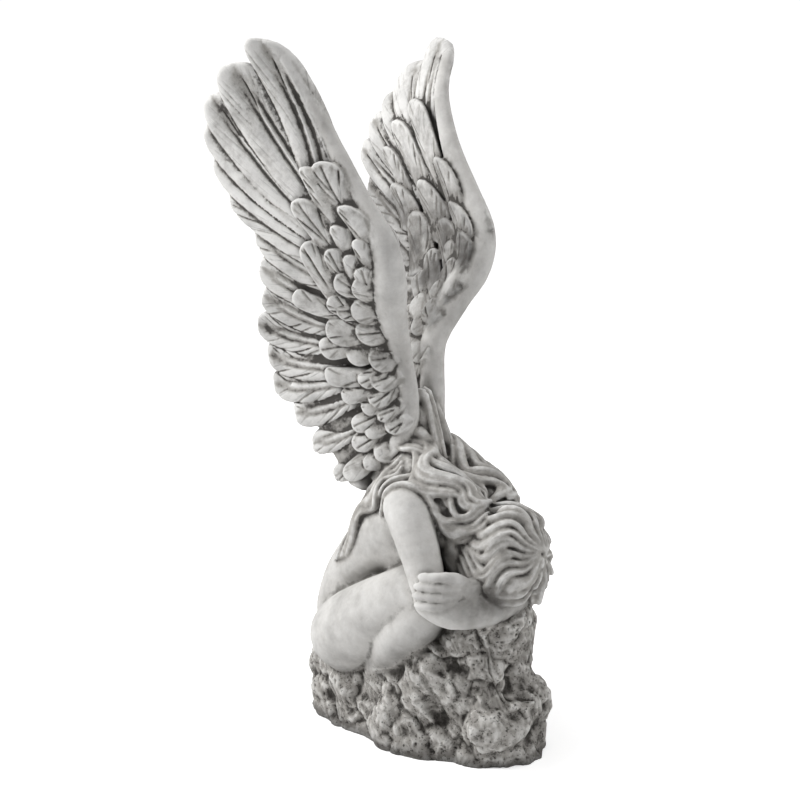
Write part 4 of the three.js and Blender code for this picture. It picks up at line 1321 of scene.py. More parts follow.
@dataclass
class Grain:
    """Seeded noise that is worked out for many points at once."""

    size: int = 32  # how many cells there are before the noise comes round again
    lattice: np.ndarray = field(init=False)
    seeds: np.ndarray = field(init=False)

    def __post_init__(self) -> None:
        """Draws the noise's values, and the places and sizes of the lumps and pits."""
        rng = np.random.default_rng(SEED)
        self.lattice = rng.uniform(-1, 1, (self.size,) * 3)
        self.seeds = rng.uniform(0, 1, (self.size, self.size, self.size, 4))

    def smooth(self, points: Points, wave: float) -> Values:
        """Returns smooth noise.

        Args:
            points: Where it is wanted.
            wave: About how wide its lumps are.

        Returns:
            The noise at each point, from -1 to 1.
        """
        place = points / wave
        base = np.floor(place).astype(int)
        f = place - base
        f = f * f * (3 - 2 * f)
        total = np.zeros(len(points))
        for corner in np.ndindex(2, 2, 2):
            weight = np.prod(np.where(corner, f, 1 - f), axis=1)
            cell = (base + corner) % self.size
            total += weight * self.lattice[cell[:, 0], cell[:, 1], cell[:, 2]]
        return total

    def fractal(self, points: Points, wave: float, layers: int) -> Values:
        """Returns layered noise, each layer half as wide and half as strong."""
        shift = np.array([17.3, 5.1, 9.7])
        return sum(self.smooth(points + i * shift, wave / 2**i) / 2**i for i in range(layers))

    def ridges(self, points: Points, wave: float, layers: int) -> Values:
        """Returns noise that is sharp along its crests.

        Args:
            points: Where it is wanted.
            wave: About how far apart the widest crests are.
            layers: How many layers, each half as wide and half as strong.

        Returns:
            The noise at each point, up to about 1.
        """
        total = np.zeros(len(points))
        for i in range(layers):
            total += (1 - np.abs(self.smooth(points + 31.7 * i, wave / 2**i)) * 2) / 2**i
        return total / 2

    def lumps(self, points: Points, spacing: float) -> tuple[Values, Values]:
        """Works out lumps that lie close together, as boulders do.

        Args:
            points: Where they are wanted.
            spacing: How far apart the lumps are.

        Returns:
            How far each point is from its lump's middle and from the crease between two lumps,
            as shares of the spacing.
        """
        first, second = np.full(len(points), 9.0), np.full(len(points), 9.0)
        for off, _ in self.seeds_near(points, spacing):
            second = np.minimum(second, np.maximum(first, off))
            first = np.minimum(first, off)
        return first, second - first

    def pits(self, points: Points, spacing: float, share: float) -> Values:
        """Works out round pits.

        Args:
            points: Where they are wanted.
            spacing: How wide the cells are that may hold a pit.
            share: The share of the cells that hold one.

        Returns:
            The depth at each point, from 0 to 1.
        """
        depth = np.zeros(len(points))
        for off, draw in self.seeds_near(points, spacing):
            radius = np.where(draw < share, 0.22 + 0.9 * draw, 0)
            depth = np.maximum(depth, np.clip(1 - (off / np.maximum(radius, 1e-6)) ** 2, 0, 1))
        return depth

    def seeds_near(self, points: Points, spacing: float) -> Iterator[tuple[Values, Values]]:
        """Finds the seeds in the cell of each point and in the cells around it.

        Args:
            points: The points.
            spacing: How wide the cells are.

        Yields:
            How far off one seed is, as a share of the spacing, and its draw.
        """
        place = points / spacing
        base = np.floor(place).astype(int)
        for step in np.ndindex(3, 3, 3):
            cell = base + np.array(step) - 1
            wrapped = cell % self.size
            seed = self.seeds[wrapped[:, 0], wrapped[:, 1], wrapped[:, 2]]
            yield np.linalg.norm(place - cell - seed[:, :3], axis=1), seed[:, 3]


# ---- Casting ----


CALM_BOULDER = ([-20, -126, 34], [34, 18, 20])  # the smooth boulder at the foot: centre, radii
SHADED_SOIL_BED = ([-52, -108, 166], [34, 22, 18])  # where dirt and painted shade lie, between the rock and the forearm


def link_piece(name: str, mesh: Mesh) -> bpy.types.Object:
    """Puts a mesh into the scene as an object.

    Args:
        name: The object's name.
        mesh: Its mesh.

    Returns:
        The object.
    """
    piece = bpy.data.objects.new(name, mesh)
    bpy.context.scene.collection.objects.link(piece)
    return piece


def modified(mesh: Mesh, kind: str, **settings: object) -> Mesh:
    """Returns what one modifier makes of a mesh, and removes the mesh.

    Args:
        mesh: The mesh to change.
        kind: The modifier's type.
        settings: The modifier's own settings.

    Returns:
        The changed mesh.
    """
    piece = link_piece("workpiece", mesh)
    modifier = piece.modifiers.new(kind, kind)
    for name, value in settings.items():
        setattr(modifier, name, value)
    graph = bpy.context.evaluated_depsgraph_get()
    result = bpy.data.meshes.new_from_object(piece.evaluated_get(graph))
    bpy.data.objects.remove(piece)
    bpy.data.meshes.remove(mesh)
    return result


def settle_on(points: Points, distance: Callable[[Points], Values], rounds: int) -> Points:
    """Moves points onto a form's surface, straight out or in.

    Args:
        points: Where the points start, near the surface.
        distance: The form's distance.
        rounds: How often they are moved.

    Returns:
        The points on the surface.
    """
    feeler, least_slope, longest_move = 0.4, 0.25, 6
    for _ in range(rounds):
        here = distance(points)
        slopes = [(distance(points + feeler * axis) - here) / feeler for axis in np.eye(3)]
        slope = np.stack(slopes, 1)
        steep = np.maximum((slope * slope).sum(1), least_slope)
        move = np.clip(here / steep, -longest_move, longest_move)
        points = points - move[:, None] * slope
    return points


@dataclass
class Web:
    """The edges between a mesh's points, for smoothing values over its surface."""

    first: np.ndarray
    second: np.ndarray
    count: np.ndarray

    @classmethod
    def of(cls, mesh: Mesh) -> "Web":
        """Reads a mesh's edges.

        Args:
            mesh: The mesh.

        Returns:
            Its edges.
        """
        ends = np.empty(len(mesh.edges) * 2, np.int32)
        mesh.edges.foreach_get("vertices", ends)
        first, second = ends[0::2], ends[1::2]
        count = np.bincount(np.concatenate([first, second]), minlength=len(mesh.vertices))
        return cls(first, second, np.maximum(count, 1))

    def smoothed(self, values: np.ndarray, rounds: int, share: float = 0.5) -> np.ndarray:
        """Moves each point's value toward its neighbours' mean, round after round.

        Args:
            values: A value or a vector for each point.
            rounds: How often they are moved.
            share: How far toward the mean.

        Returns:
            The smoothed values.
        """
        size = len(self.count)
        columns = values.reshape(size, -1).copy()
        for _ in range(rounds):
            for i in range(columns.shape[1]):
                column = columns[:, i]
                total = np.bincount(self.first, column[self.second], size)
                total += np.bincount(self.second, column[self.first], size)
                columns[:, i] = column + share * (total / self.count - column)
        return columns.reshape(values.shape)


def near_spot(points: Points, centre: Sequence, radii: Sequence) -> Values:
    """Returns 1 at a spot, fading away from it at the pace of its three radii."""
    return np.exp(-(np.linalg.norm((points - centre) / radii, axis=1) ** 2))


def step_up(values: Values, low: float, high: float) -> Values:
    """Returns a smooth step that is 0 below low and 1 above high."""
    share = np.clip((values - low) / (high - low), 0, 1)
    return share * share * (3 - 2 * share)


@dataclass
class Source:
    """The forms of one zone, to look up what lies nearest to a point of the joined surface."""

    tree: BVHTree
    corners: np.ndarray
    places: Points
    notes: np.ndarray

    def notes_at(self, points: Points, reach: float) -> tuple[np.ndarray, np.ndarray, Values]:
        """Looks up the nearest form.

        Args:
            points: The points to look from.
            reach: How far away a form still counts.

        Returns:
            Which points have a form within reach, the notes there, and how far off each is.
        """
        found, faces, near, far = [], [], [], []
        for i, point in enumerate(points.tolist()):
            place, _, face, distance = self.tree.find_nearest(Vector(point), reach)
            if face is not None:
                found.append(i)
                faces.append(face)
                near.append(place[:])
                far.append(distance)
        corners = self.corners[faces]
        a, b, c = (self.places[corners[:, i]] for i in range(3))
        u, v, w = b - a, c - a, np.array(near) - a
        uu, uv, vv = (u * u).sum(1), (u * v).sum(1), (v * v).sum(1)
        wu, wv = (w * u).sum(1), (w * v).sum(1)
        spread = np.maximum(uu * vv - uv * uv, 1e-12)
        second = np.clip((vv * wu - uv * wv) / spread, 0, 1)
        third = np.clip((uu * wv - uv * wu) / spread, 0, 1)
        weights = np.stack([1 - second - third, second, third], 1)
        return np.array(found), (weights[:, :, None] * self.notes[corners]).sum(1), np.array(far)


@dataclass
class Casting:
    """The whole statue as one closed surface, joined from its parts and then worked over."""

    figure: Figure = field(default_factory=Figure)
    rock: Rock = field(default_factory=Rock)
    grain: Grain = field(default_factory=Grain)
    rough_voxel: float = 3.2
    fine_voxel: float = 1.15
    join_softness: float = 4.0
    carving_reach: float = 2.2  # how far from a feather's form its cuts still reach
    triangles: int = 196_000  # before the foot is cut off flat
    rock_top: float = 176.0  # the rock's weathering ends below this height
    skin_grain: float = 0.16  # how rough the figure's own surface is
    heaps: list[Heap] = field(default_factory=list)
    carvings: Carvings = field(default_factory=Carvings)

    def body_distance(self, points: Points) -> Values:
        """Returns the distance to the figure and its rock, softly joined."""
        return blend(self.join_softness, self.figure.distance(points), self.rock.distance(points))

    def carve_body(self) -> Mesh:
        """Carves the figure and its rock, smooth, without the hair's locks and the feathers.

        Returns:
            Their mesh.
        """
        form = bmesh.new()
        self.figure.rough_out(form)
        self.rock.rough_out(form)
        mesh = bpy.data.meshes.new("body")
        form.to_mesh(mesh)
        form.free()
        mesh = modified(mesh, "REMESH", mode="VOXEL", voxel_size=self.rough_voxel)
        web = Web.of(mesh)
        points = settle_on(read_points(mesh), self.body_distance, 4)
        for _ in range(2):
            points = settle_on(web.smoothed(points, 3), self.body_distance, 1)
        write_points(mesh, web.smoothed(points, 1))
        return mesh

    def carve_details(self) -> None:
        """Carves the hair, the fingers and the wings."""
        hair, flesh, plumes = Heap(Zone.HAIR), Heap(Zone.SKIN), Heap(Zone.FEATHER)
        Hair(self.figure).add_to(hair)
        for hand in HANDS:
            hand.add_to(flesh)
        for side in Side:
            wing = Wing(side, self.carvings)
            wing.add_arm(flesh)
            wing.add_blade(plumes)
            wing.add_feathers(plumes)
        self.heaps = [hair, flesh, plumes]

    def join(self) -> tuple[Mesh, dict[Zone, Source]]:
        """Joins everything into one closed surface.

        Returns:
            The surface, and each zone's own forms to look up later.
        """
        form = bmesh.new()
        body = self.carve_body()
        form.from_mesh(body)
        sources = {}
        for heap in self.heaps:
            mesh = heap.mesh()
            form.from_mesh(mesh)
            sources[heap.zone] = self.lookup(mesh, np.concatenate(heap.notes))
        whole = bpy.data.meshes.new("whole")
        form.to_mesh(whole)
        form.free()
        return modified(whole, "REMESH", mode="VOXEL", voxel_size=self.fine_voxel), sources

    @staticmethod
    def lookup(mesh: Mesh, notes: np.ndarray) -> Source:
        """Makes what finds the nearest of a mesh's faces.

        Args:
            mesh: The mesh.
            notes: The notes of its points.

        Returns:
            The faces' tree, corners, places and notes.
        """
        form = bmesh.new()
        form.from_mesh(mesh)
        bmesh.ops.triangulate(form, faces=form.faces)
        corners = np.array([[vert.index for vert in face.verts] for face in form.faces])
        places = np.array([vert.co[:] for vert in form.verts])
        tree = BVHTree.FromBMesh(form)
        form.free()
        return Source(tree, corners, places, notes)

    def engrave(self, mesh: Mesh, source: Source) -> None:
        """Cuts the quills, barbs and splits into the feathers.

        Args:
            mesh: The joined surface.
            source: The feathers' own forms.
        """
        points, normals = read_points(mesh), normals_of(mesh)
        found, notes, far = source.notes_at(points, self.carving_reach)
        cut = notes[:, 2] >= 0
        found, notes, far = found[cut], notes[cut], far[cut]
        depth = np.zeros(len(points))
        depth[found] = self.carvings.relief(notes) * step_up(self.carving_reach - far, 0, 1)
        write_points(mesh, points + depth[:, None] * normals)

    def weather(self, mesh: Mesh) -> None:
        """Roughens the rock with ridges and pits, and the rest a little, as a cast surface is.

        Args:
            mesh: The joined surface.
        """
        points, normals = read_points(mesh), normals_of(mesh)
        low = np.nonzero(points[:, 2] < self.rock_top)[0]
        far = self.figure.distance(points[low]) - np.abs(self.rock.distance(points[low]))
        stone = np.zeros(len(points))
        stone[low] = step_up(far, 0.5, 6) * step_up(-points[low, 2], -self.rock_top, -165)
        rocky = np.nonzero(stone > 0.01)[0]
        calm = 0.7 * near_spot(points[rocky], *CALM_BOULDER)
        calm = np.maximum(calm, 0.35 * step_up(-points[rocky, 2], -9, -3))
        move = np.zeros(len(points))
        move[rocky] = stone[rocky] * self.rock_relief(points[rocky]) * (1 - calm)
        move += (1 - stone) * self.skin_grain * self.grain.fractal(points, 6, 2)
        write_points(mesh, points + move[:, None] * normals)

    def rock_relief(self, points: Points) -> Values:
        """Returns how far the rock's surface stands out or is cut in.

        Args:
            points: Places on the rock.

        Returns:
            The height of the relief at each point.
        """
        grain = self.grain
        warp = np.stack([grain.fractal(points + shift, 30, 3) for shift in (0, 90, 180)], 1)
        at = points + 8 * warp
        x, y, z = at.T
        leaning = np.stack([x + 0.4 * z, y - 0.3 * z, 0.7 * z], 1)
        far, crease = grain.lumps(leaning, 58)
        relief = 12.0 * (0.48 - far) - 2.5 * crest(crease, 0.1)
        upright = np.stack([x + 0.3 * z, y - 0.3 * z, 0.36 * z], 1)
        gouged = step_up(grain.smooth(at + 200, 40), -0.3, 0.2)
        for height, shift, wave in ((3.6 * gouged, 70, 16), (1.3, 20, 9), (1.2, 60, 4.6)):
            relief += height * (grain.ridges(upright + shift, wave, 1) - 0.35)
        relief += 0.5 * grain.fractal(at + 90, 3.2, 1)
        pitted = step_up(grain.smooth(at + 11, 22), 0.1, 0.4)
        relief -= 2.3 * pitted * grain.pits(at, 4.2, 0.3)
        relief -= 0.9 * grain.pits(at + 40, 4.0, 0.1)
        return relief

    def stand(self, mesh: Mesh) -> None:
        """Cuts the surface off flat at the ground, and closes it there.

        Args:
            mesh: The joined surface, which goes on below the ground.
        """
        form = bmesh.new()
        form.from_mesh(mesh)
        everything = [*form.verts, *form.edges, *form.faces]
        bmesh.ops.bisect_plane(
            form, geom=everything, plane_co=(0, 0, 0), plane_no=(0, 0, 1), clear_inner=True
        )
        rim = [edge for edge in form.edges if edge.is_boundary]
        bmesh.ops.holes_fill(form, edges=rim)
        bmesh.ops.triangulate(form, faces=[face for face in form.faces if len(face.verts) > 3])
        bmesh.ops.recalc_face_normals(form, faces=form.faces)
        form.to_mesh(mesh)
        form.free()

    def build(self) -> bpy.types.Object:
        """Builds the statue.

        Returns:
            It as one finished piece, without its material.
        """
        self.carve_details()
        log.info("details carved: %s forms", sum(len(heap.points) for heap in self.heaps))
        mesh, sources = self.join()
        log.info("joined: %s points", len(mesh.vertices))
        write_points(mesh, Web.of(mesh).smoothed(read_points(mesh), 2, 0.45))
        self.engrave(mesh, sources[Zone.FEATHER])
        log.info("feathers engraved")
        self.weather(mesh)
        log.info("rock weathered")
        share = self.triangles / (2 * len(mesh.polygons))
        mesh = modified(mesh, "DECIMATE", ratio=share, use_collapse_triangulate=True)
        self.stand(mesh)
        log.info("worked over: %s faces", len(mesh.polygons))
        PatinaAndShade(self).apply(mesh, sources)
        points = read_points(mesh)
        points[:, 2] = np.maximum(points[:, 2], 0)
        write_points(mesh, points * METRE)
        mesh.shade_smooth()
        return link_piece("statue_casting", mesh)


# ---- Patina and painted shade ----


@dataclass
class PatinaAndShade:
    """What the surface knows of itself, so that the wash and painted shade lie in its hollows and not on
    its rims, where painted highlights lie.
    """

    casting: Casting
    rays: int = 14  # how many ways each point looks
    reach: float = 45.0  # how far it looks
    clearance: float = 0.6  # how far off the surface it looks from
    zone_reach: float = 3.0  # how far from a zone's forms the surface still belongs to it
    swirl: float = 5.0  # how many millimetres across the grain one radian round a lock counts for

    def openness(self, mesh: Mesh, normals: np.ndarray) -> Values:
        """Works out how open the surface lies, which the material paints as shade.

        Args:
            mesh: The finished surface.
            normals: Its outward direction at each point.

        Returns:
            The openness at each point, from 0 in deep hollows to 1 in the open.
        """
        points = read_points(mesh)
        faces = [tuple(face.vertices) for face in mesh.polygons]
        tree = BVHTree.FromPolygons(points.tolist(), faces)
        ways = unit(np.random.default_rng(SEED).standard_normal((self.rays, 3)))
        starts = points + self.clearance * normals
        free = np.zeros(len(points))
        for way in ways:
            directions = unit(normals * 1.05 + way)
            for i, (start, direction) in enumerate(zip(starts.tolist(), directions.tolist())):
                hit = tree.ray_cast(Vector(start), Vector(direction), self.reach)[3]
                free[i] += 1.0 if hit is None else hit / self.reach
        return free / self.rays

    def apply(self, mesh: Mesh, sources: dict) -> None:
        """Writes the attributes that the stone's material reads.

        Args:
            mesh: The finished surface, in millimetres.
            sources: Each zone's own forms, from the joining.
        """
        points, normals, web = read_points(mesh), normals_of(mesh), Web.of(mesh)
        fine = ((web.smoothed(points, 2) - points) * normals).sum(1)
        broad = ((web.smoothed(points, 12) - points) * normals).sum(1)
        open_sky = web.smoothed(self.openness(mesh, normals), 1)
        shares, lie, cut = {}, np.zeros((len(points), 3)), np.zeros(len(points))
        for zone in (Zone.HAIR, Zone.FEATHER):
            found, notes, far = sources[zone].notes_at(points, self.zone_reach)
            shares[zone] = np.zeros(len(points))
            shares[zone][found] = step_up(self.zone_reach - far, 0, 1.5)
            if zone is Zone.HAIR:
                lie[found] = notes[:, [1, 0, 2]] * [self.swirl, 1, 1]
            else:
                on_feather = notes[:, 2] >= 0
                cut[found[on_feather]] = -self.casting.carvings.relief(notes[on_feather])
                lie[found] = self.casting.carvings.grain(notes)
        plume = shares[Zone.FEATHER]
        hair = shares[Zone.HAIR] * (1 - plume)
        values = {
            "hollow": web.smoothed(fine, 1),
            "dip": broad,
            # how open the surface lies, which the material paints as shade
            "openness": open_sky,
            "rock": self.rockiness(points, hair, plume),
            "soil_and_shade": self.soil_and_shade(points, normals, plume),
            # painted shade along the foot of the rock, near the ground
            "foot_shade": step_up(-points[:, 2], -14, -2),
            "hair": hair,
            "plume": plume,
            "cut": cut,
            "lie": lie,
        }
        for name, value in values.items():
            self.write(mesh, name, value)

    def rockiness(self, points: Points, hair: Values, plume: Values) -> Values:
        """Returns where the surface is the rock's.

        Args:
            points: The surface's points.
            hair: Where the surface is the hair's.
            plume: Where it is the feathers'.

        Returns:
            The rock's share at each point, from 0 to 1.
        """
        skin = np.abs(self.casting.figure.distance(points))
        stone = np.abs(self.casting.rock.distance(points)) - 3
        low = step_up(-points[:, 2], -178, -166)
        return step_up(skin - stone, 0, 4) * (1 - hair) * (1 - plume) * low

    def soil_and_shade(self, points: Points, normals: np.ndarray, plume: Values) -> Values:
        """Returns where the surface is darkened: dirt and painted shade near the rock and where the
        forearm lies on it, and painted shade in the fold between the wings.

        Args:
            points: The surface's points.
            normals: Its outward direction at each of them.
            plume: Where the surface is the feathers'.

        Returns:
            The strength of the dirt and painted shade at each point.
        """
        depth = 26
        # dirt and painted shade on the figure near the rock
        from_rock = np.maximum(self.casting.rock.distance(points), 0)
        soil_and_shade = step_up(depth - from_rock, 0, depth)
        # painted shade on the wings' inner faces, in the fold between them
        inward = step_up(-normals[:, 0] * np.sign(points[:, 0]), 0.1, 0.6)
        fold = crest(points[:, 2] - 465, 80)
        soil_and_shade = np.maximum(soil_and_shade, 1.4 * plume * inward * fold)
        # dirt and painted shade where the forearm lies on the rock
        return np.maximum(soil_and_shade, 1.6 * near_spot(points, *SHADED_SOIL_BED))

    @staticmethod
    def write(mesh: Mesh, name: str, values: np.ndarray) -> None:
        """Writes one attribute.

        Args:
            mesh: The mesh.
            name: The attribute's name.
            values: A value or a vector for each point.
        """
        kind, key = ("FLOAT", "value") if values.ndim == 1 else ("FLOAT_VECTOR", "vector")
        attribute = mesh.attributes.new(name, kind, "POINT")
        attribute.data.foreach_set(key, values.astype(np.float32).ravel())


# ---- Materials ----


@dataclass
class Sheet:
    """A node tree, with short ways to add the nodes that the finishes share."""

    tree: bpy.types.NodeTree

    def link(self, source: object, target: Socket) -> None:
        """Feeds a target socket with another socket's value, or sets a plain value on it."""
        if isinstance(source, Socket):
            self.tree.links.new(source, target)
        else:
            target.default_value = source

    def attribute(self, name: str) -> Socket:
        """Returns the value of one of the piece's own attributes, by its name."""
        node = self.tree.nodes.new("ShaderNodeAttribute")
        node.attribute_name = name
        return node.outputs["Fac"]

    def noise(self, scale: float, detail: float, roughness: float) -> Socket:
        """Makes noise in the piece's own space.

        Args:
            scale: How many lumps there are to a metre.
            detail: How many finer layers it has.
            roughness: How strong those are.

        Returns:
            The noise's value, from 0 to 1.
        """
        place = self.tree.nodes.new("ShaderNodeTexCoord")
        node = self.tree.nodes.new("ShaderNodeTexNoise")
        node.inputs["Scale"].default_value = scale
        node.inputs["Detail"].default_value = detail
        node.inputs["Roughness"].default_value = roughness
        self.tree.links.new(place.outputs["Object"], node.inputs["Vector"])
        return node.outputs["Fac"]

    def streaks(self, name: str, across: float, along: float) -> Socket:
        """Returns fine streaks that follow a grain.

        Args:
            name: The attribute that holds the place across the grain, along it, and the strand.
            across: Streaks to a millimetre across the grain.
            along: Changes to a millimetre along it.

        Returns:
            The streaks' value, from 0 to 1.
        """
        source = self.tree.nodes.new("ShaderNodeAttribute")
        source.attribute_name = name
        mapping = self.tree.nodes.new("ShaderNodeMapping")
        apart = 3.7  # how far the noise moves on from one strand to the next
        mapping.inputs["Scale"].default_value = (across, along, apart)
        node = self.tree.nodes.new("ShaderNodeTexNoise")
        node.inputs["Scale"].default_value = 1.0
        node.inputs["Detail"].default_value = 2.0
        self.tree.links.new(source.outputs["Vector"], mapping.inputs["Vector"])
        self.tree.links.new(mapping.outputs["Vector"], node.inputs["Vector"])
        return node.outputs["Fac"]

    def remap(
        self, value: object, low: object, high: object, to_low: object = 0.0, to_high: object = 1.0
    ) -> Socket:
        """Spreads a value from one range to another, and holds it inside that.

        Args:
            value: The value.
            low: What becomes to_low.
            high: What becomes to_high.
            to_low: Where the new range starts.
            to_high: Where it ends.

        Returns:
            The value in its new range.
        """
        node = self.tree.nodes.new("ShaderNodeMapRange")
        node.clamp = True
        names = ("Value", "From Min", "From Max", "To Min", "To Max")
        for name, part in zip(names, (value, low, high, to_low, to_high)):
            self.link(part, node.inputs[name])
        return node.outputs["Result"]

    def math(self, operation: str, *values: object) -> Socket:
        """Works out a sum.

        Args:
            operation: What is done with the values, two at a time.
            values: The values, in order.

        Returns:
            The result.
        """
        total = values[0]
        for value in values[1:]:
            node = self.tree.nodes.new("ShaderNodeMath")
            node.operation = operation
            self.link(total, node.inputs[0])
            self.link(value, node.inputs[1])
            total = node.outputs[0]
        return total

    def times(self, *values: object) -> Socket:
        """Returns the product of several values."""
        return self.math("MULTIPLY", *values)

    def plus(self, *values: object) -> Socket:
        """Returns the sum of several values."""
        return self.math("ADD", *values)

    def most(self, *values: object) -> Socket:
        """Returns the greatest of several values."""
        return self.math("MAXIMUM", *values)

    def mix(self, share: object, first: object, second: object) -> Socket:
        """Blends two colours.

        Args:
            share: How much of the second one there is.
            first: One colour.
            second: The other.

        Returns:
            The blend.
        """
        node = self.tree.nodes.new("ShaderNodeMix")
        node.data_type = "RGBA"
        factor, a, b = (node.inputs[i] for i in (0, 6, 7))
        self.link(share, factor)
        self.link(first, a)
        self.link(second, b)
        return node.outputs[2]


@dataclass(frozen=True)
class Tones:
    """The tones of one zone: on its rims, where the paler tone is a painted highlight, on plain
    stretches, and in its cuts, whose dark tone also colours the painted shade.
    """

    rim: Colour
    plain: Colour
    cut: Colour


@dataclass(frozen=True)
class CastStone:
    """Pale cast stone with a grey-brown wash rubbed into its hollows, darker on the rock; painted shade
    darkens its hollows too, and painted highlights lighten its rims.

    A noise is its lumps to a metre, its detail and its roughness. A range is where it starts and
    ends, followed by what it becomes there where that isn't 0 and 1.
    """

    # rim tones are painted highlights; cut tones also colour the painted shade
    skin: Tones = Tones((0.82, 0.81, 0.79, 1), (0.68, 0.665, 0.64, 1), (0.10, 0.093, 0.083, 1))
    hair: Tones = Tones((0.88, 0.87, 0.85, 1), (0.48, 0.462, 0.435, 1), (0.03, 0.026, 0.023, 1))
    plume: Tones = Tones((0.88, 0.87, 0.85, 1), (0.46, 0.443, 0.418, 1), (0.03, 0.026, 0.023, 1))
    rock: Tones = Tones((0.86, 0.845, 0.815, 1), (0.46, 0.44, 0.412, 1), (0.03, 0.026, 0.022, 1))
    # the colour of the painted shade in the most closed hollows
    deep: Colour = (0.03, 0.026, 0.023, 1)
    roughness: float = 0.85
    shine: float = 0.25
    cloud_noise: Numbers = (30, 5, 0.6)
    patch_noise: Numbers = (170, 6, 0.7)
    speck_noise: Numbers = (900, 3, 0.6)
    crust_noise: Numbers = (230, 9, 0.78)
    pore_noise: Numbers = (380, 2, 0.5)
    streak_grain: Pair = (0.55, 0.07)  # streaks to a millimetre, across and along
    blotch_range: Numbers = (0.3, 0.7, -0.12, 0.12)
    cut_weight: float = 0.3  # of the engraved cuts, beside the mesh's own hollows
    # painted highlight: convex rims turn to the paler rim tone
    rim_highlight_range: Numbers = (-0.03, -0.4)
    # the wash and painted shade in grooves and valleys
    groove_range: Numbers = (0.02, 0.5)
    # dirt and painted shade near the rock, where the forearm lies and between the wings
    soil_and_shade_range: Numbers = (0.3, 0.6, 0.35, 0.95)
    soil_and_shade_weight: float = 0.6
    valley_starts: float = 0.08
    valley_ends: Pair = (1.3, 0.55)  # away from the feathers and on them
    valley_weight: float = 0.92
    # painted shade where the surface lies closed in, read from its openness
    open_above: Pair = (0.86, 0.92)  # away from the feathers and on them
    shut_below: Pair = (0.4, 0.5)
    shade_weight: float = 0.95
    cloud_range: Numbers = (0.45, 0.8, 0, 0.4)
    # painted shade along the foot of the rock, near the ground
    foot_shade_weight: float = 0.75
    stroke_range: Numbers = (0.6, 0.76, 0, 0.4)
    # how far the wash and painted shade darken
    wash_and_shade_weight: float = 0.92
    speck_range: Numbers = (0.54, 0.59)
    speck_weights: Pair = (0.08, 0.72)  # on the figure and on the rock
    pore_range: Numbers = (0.60, 0.66, 0, 0.8)
    pore_patches: Pair = (0.4, 0.55)
    # painted shade: the most closed hollows turn to the deep colour
    closed_shade_range: Numbers = (0.3, 0.05)
    bump_depth: float = 0.7 * METRE
    bump_strength: float = 0.5
    streak_height: float = -1.0
    speck_height: float = 0.5
    crust_height: float = -8.0

    def tone(self, sheet: Sheet, part: str) -> Socket:
        """Blends one part of the tones from zone to zone.

        Args:
            sheet: Where the nodes go.
            part: Which of the tones.

        Returns:
            The colour.
        """
        zones = (self.skin, self.rock, self.hair, self.plume)
        colour, *others = (getattr(zone, part) for zone in zones)
        for name, other in zip(("rock", "hair", "plume"), others):
            colour = sheet.mix(sheet.attribute(name), colour, other)
        return colour

    def wash_and_shade(self, sheet: Sheet, cloud: object, hollow: object, dip: object) -> Socket:
        """Works out the dark wash and painted shade in grooves and valleys, painted shade in closed
        hollows and near the ground, and dirt with painted shade on the figure.

        Args:
            sheet: Where the nodes go.
            cloud: Broad noise.
            hollow: How hollow the surface is close by.
            dip: How hollow it is further around.

        Returns:
            The strength of the wash and painted shade, from 0 to 1.
        """
        plume = sheet.attribute("plume")
        # dirt and painted shade near the rock and between the wings
        soil_and_shade = sheet.times(sheet.attribute("soil_and_shade"), sheet.remap(cloud, *self.soil_and_shade_range))
        off_rock = sheet.remap(sheet.attribute("rock"), 0, 1, self.soil_and_shade_weight, 0)
        # the wash and painted shade in grooves and broad valleys
        groove = sheet.remap(hollow, *self.groove_range)
        deepest = sheet.remap(plume, 0, 1, *self.valley_ends)
        valley = sheet.remap(dip, self.valley_starts, deepest, 0, self.valley_weight)
        bright = sheet.remap(plume, 0, 1, *self.open_above)
        dark = sheet.remap(plume, 0, 1, *self.shut_below)
        # painted shade where the surface lies closed in
        shade = sheet.remap(sheet.attribute("openness"), bright, dark, 0, self.shade_weight)
        # painted shade along the foot of the rock, near the ground
        foot_shade = sheet.times(sheet.attribute("foot_shade"), self.foot_shade_weight)
        return sheet.most(groove, valley, shade, sheet.times(soil_and_shade, off_rock), foot_shade)

    def specks(self, sheet: Sheet, crust: object, dip: object) -> Socket:
        """Works out the dark specks in the low parts of the crust.

        Args:
            sheet: Where the nodes go.
            crust: The crust's noise.
            dip: How hollow the surface is around.

        Returns:
            The strength of the specks, from 0 to 1.
        """
        low = sheet.plus(crust, sheet.times(dip, 0.035))
        strength = sheet.remap(sheet.attribute("rock"), 0, 1, *self.speck_weights)
        return sheet.times(sheet.remap(low, *self.speck_range), strength)

    def pores(self, sheet: Sheet, patch: object) -> Socket:
        """Returns the strength of the rock's dark pores, which lie where the patch noise is high."""
        pores = sheet.remap(sheet.noise(*self.pore_noise), *self.pore_range)
        return sheet.times(pores, sheet.remap(patch, *self.pore_patches), sheet.attribute("rock"))

    def material(self) -> bpy.types.Material:
        """Mixes the stone's material.

        Returns:
            The material.
        """
        material = bpy.data.materials.new("cast_stone")
        material.use_nodes = True
        sheet = Sheet(material.node_tree)
        shader = sheet.tree.nodes["Principled BSDF"]
        shader.inputs["Roughness"].default_value = self.roughness
        shader.inputs["Specular IOR Level"].default_value = self.shine
        cloud, patch = sheet.noise(*self.cloud_noise), sheet.noise(*self.patch_noise)
        crust, speck = sheet.noise(*self.crust_noise), sheet.noise(*self.speck_noise)
        streak = sheet.streaks("lie", *self.streak_grain)
        grained = sheet.plus(sheet.attribute("hair"), sheet.attribute("plume"))
        blotch = sheet.remap(patch, *self.blotch_range)
        cuts = sheet.times(sheet.attribute("cut"), self.cut_weight)
        hollow = sheet.plus(sheet.attribute("hollow"), blotch, cuts)
        dip = sheet.plus(sheet.attribute("dip"), sheet.times(blotch, 3.0))

        dark = self.tone(sheet, "cut")
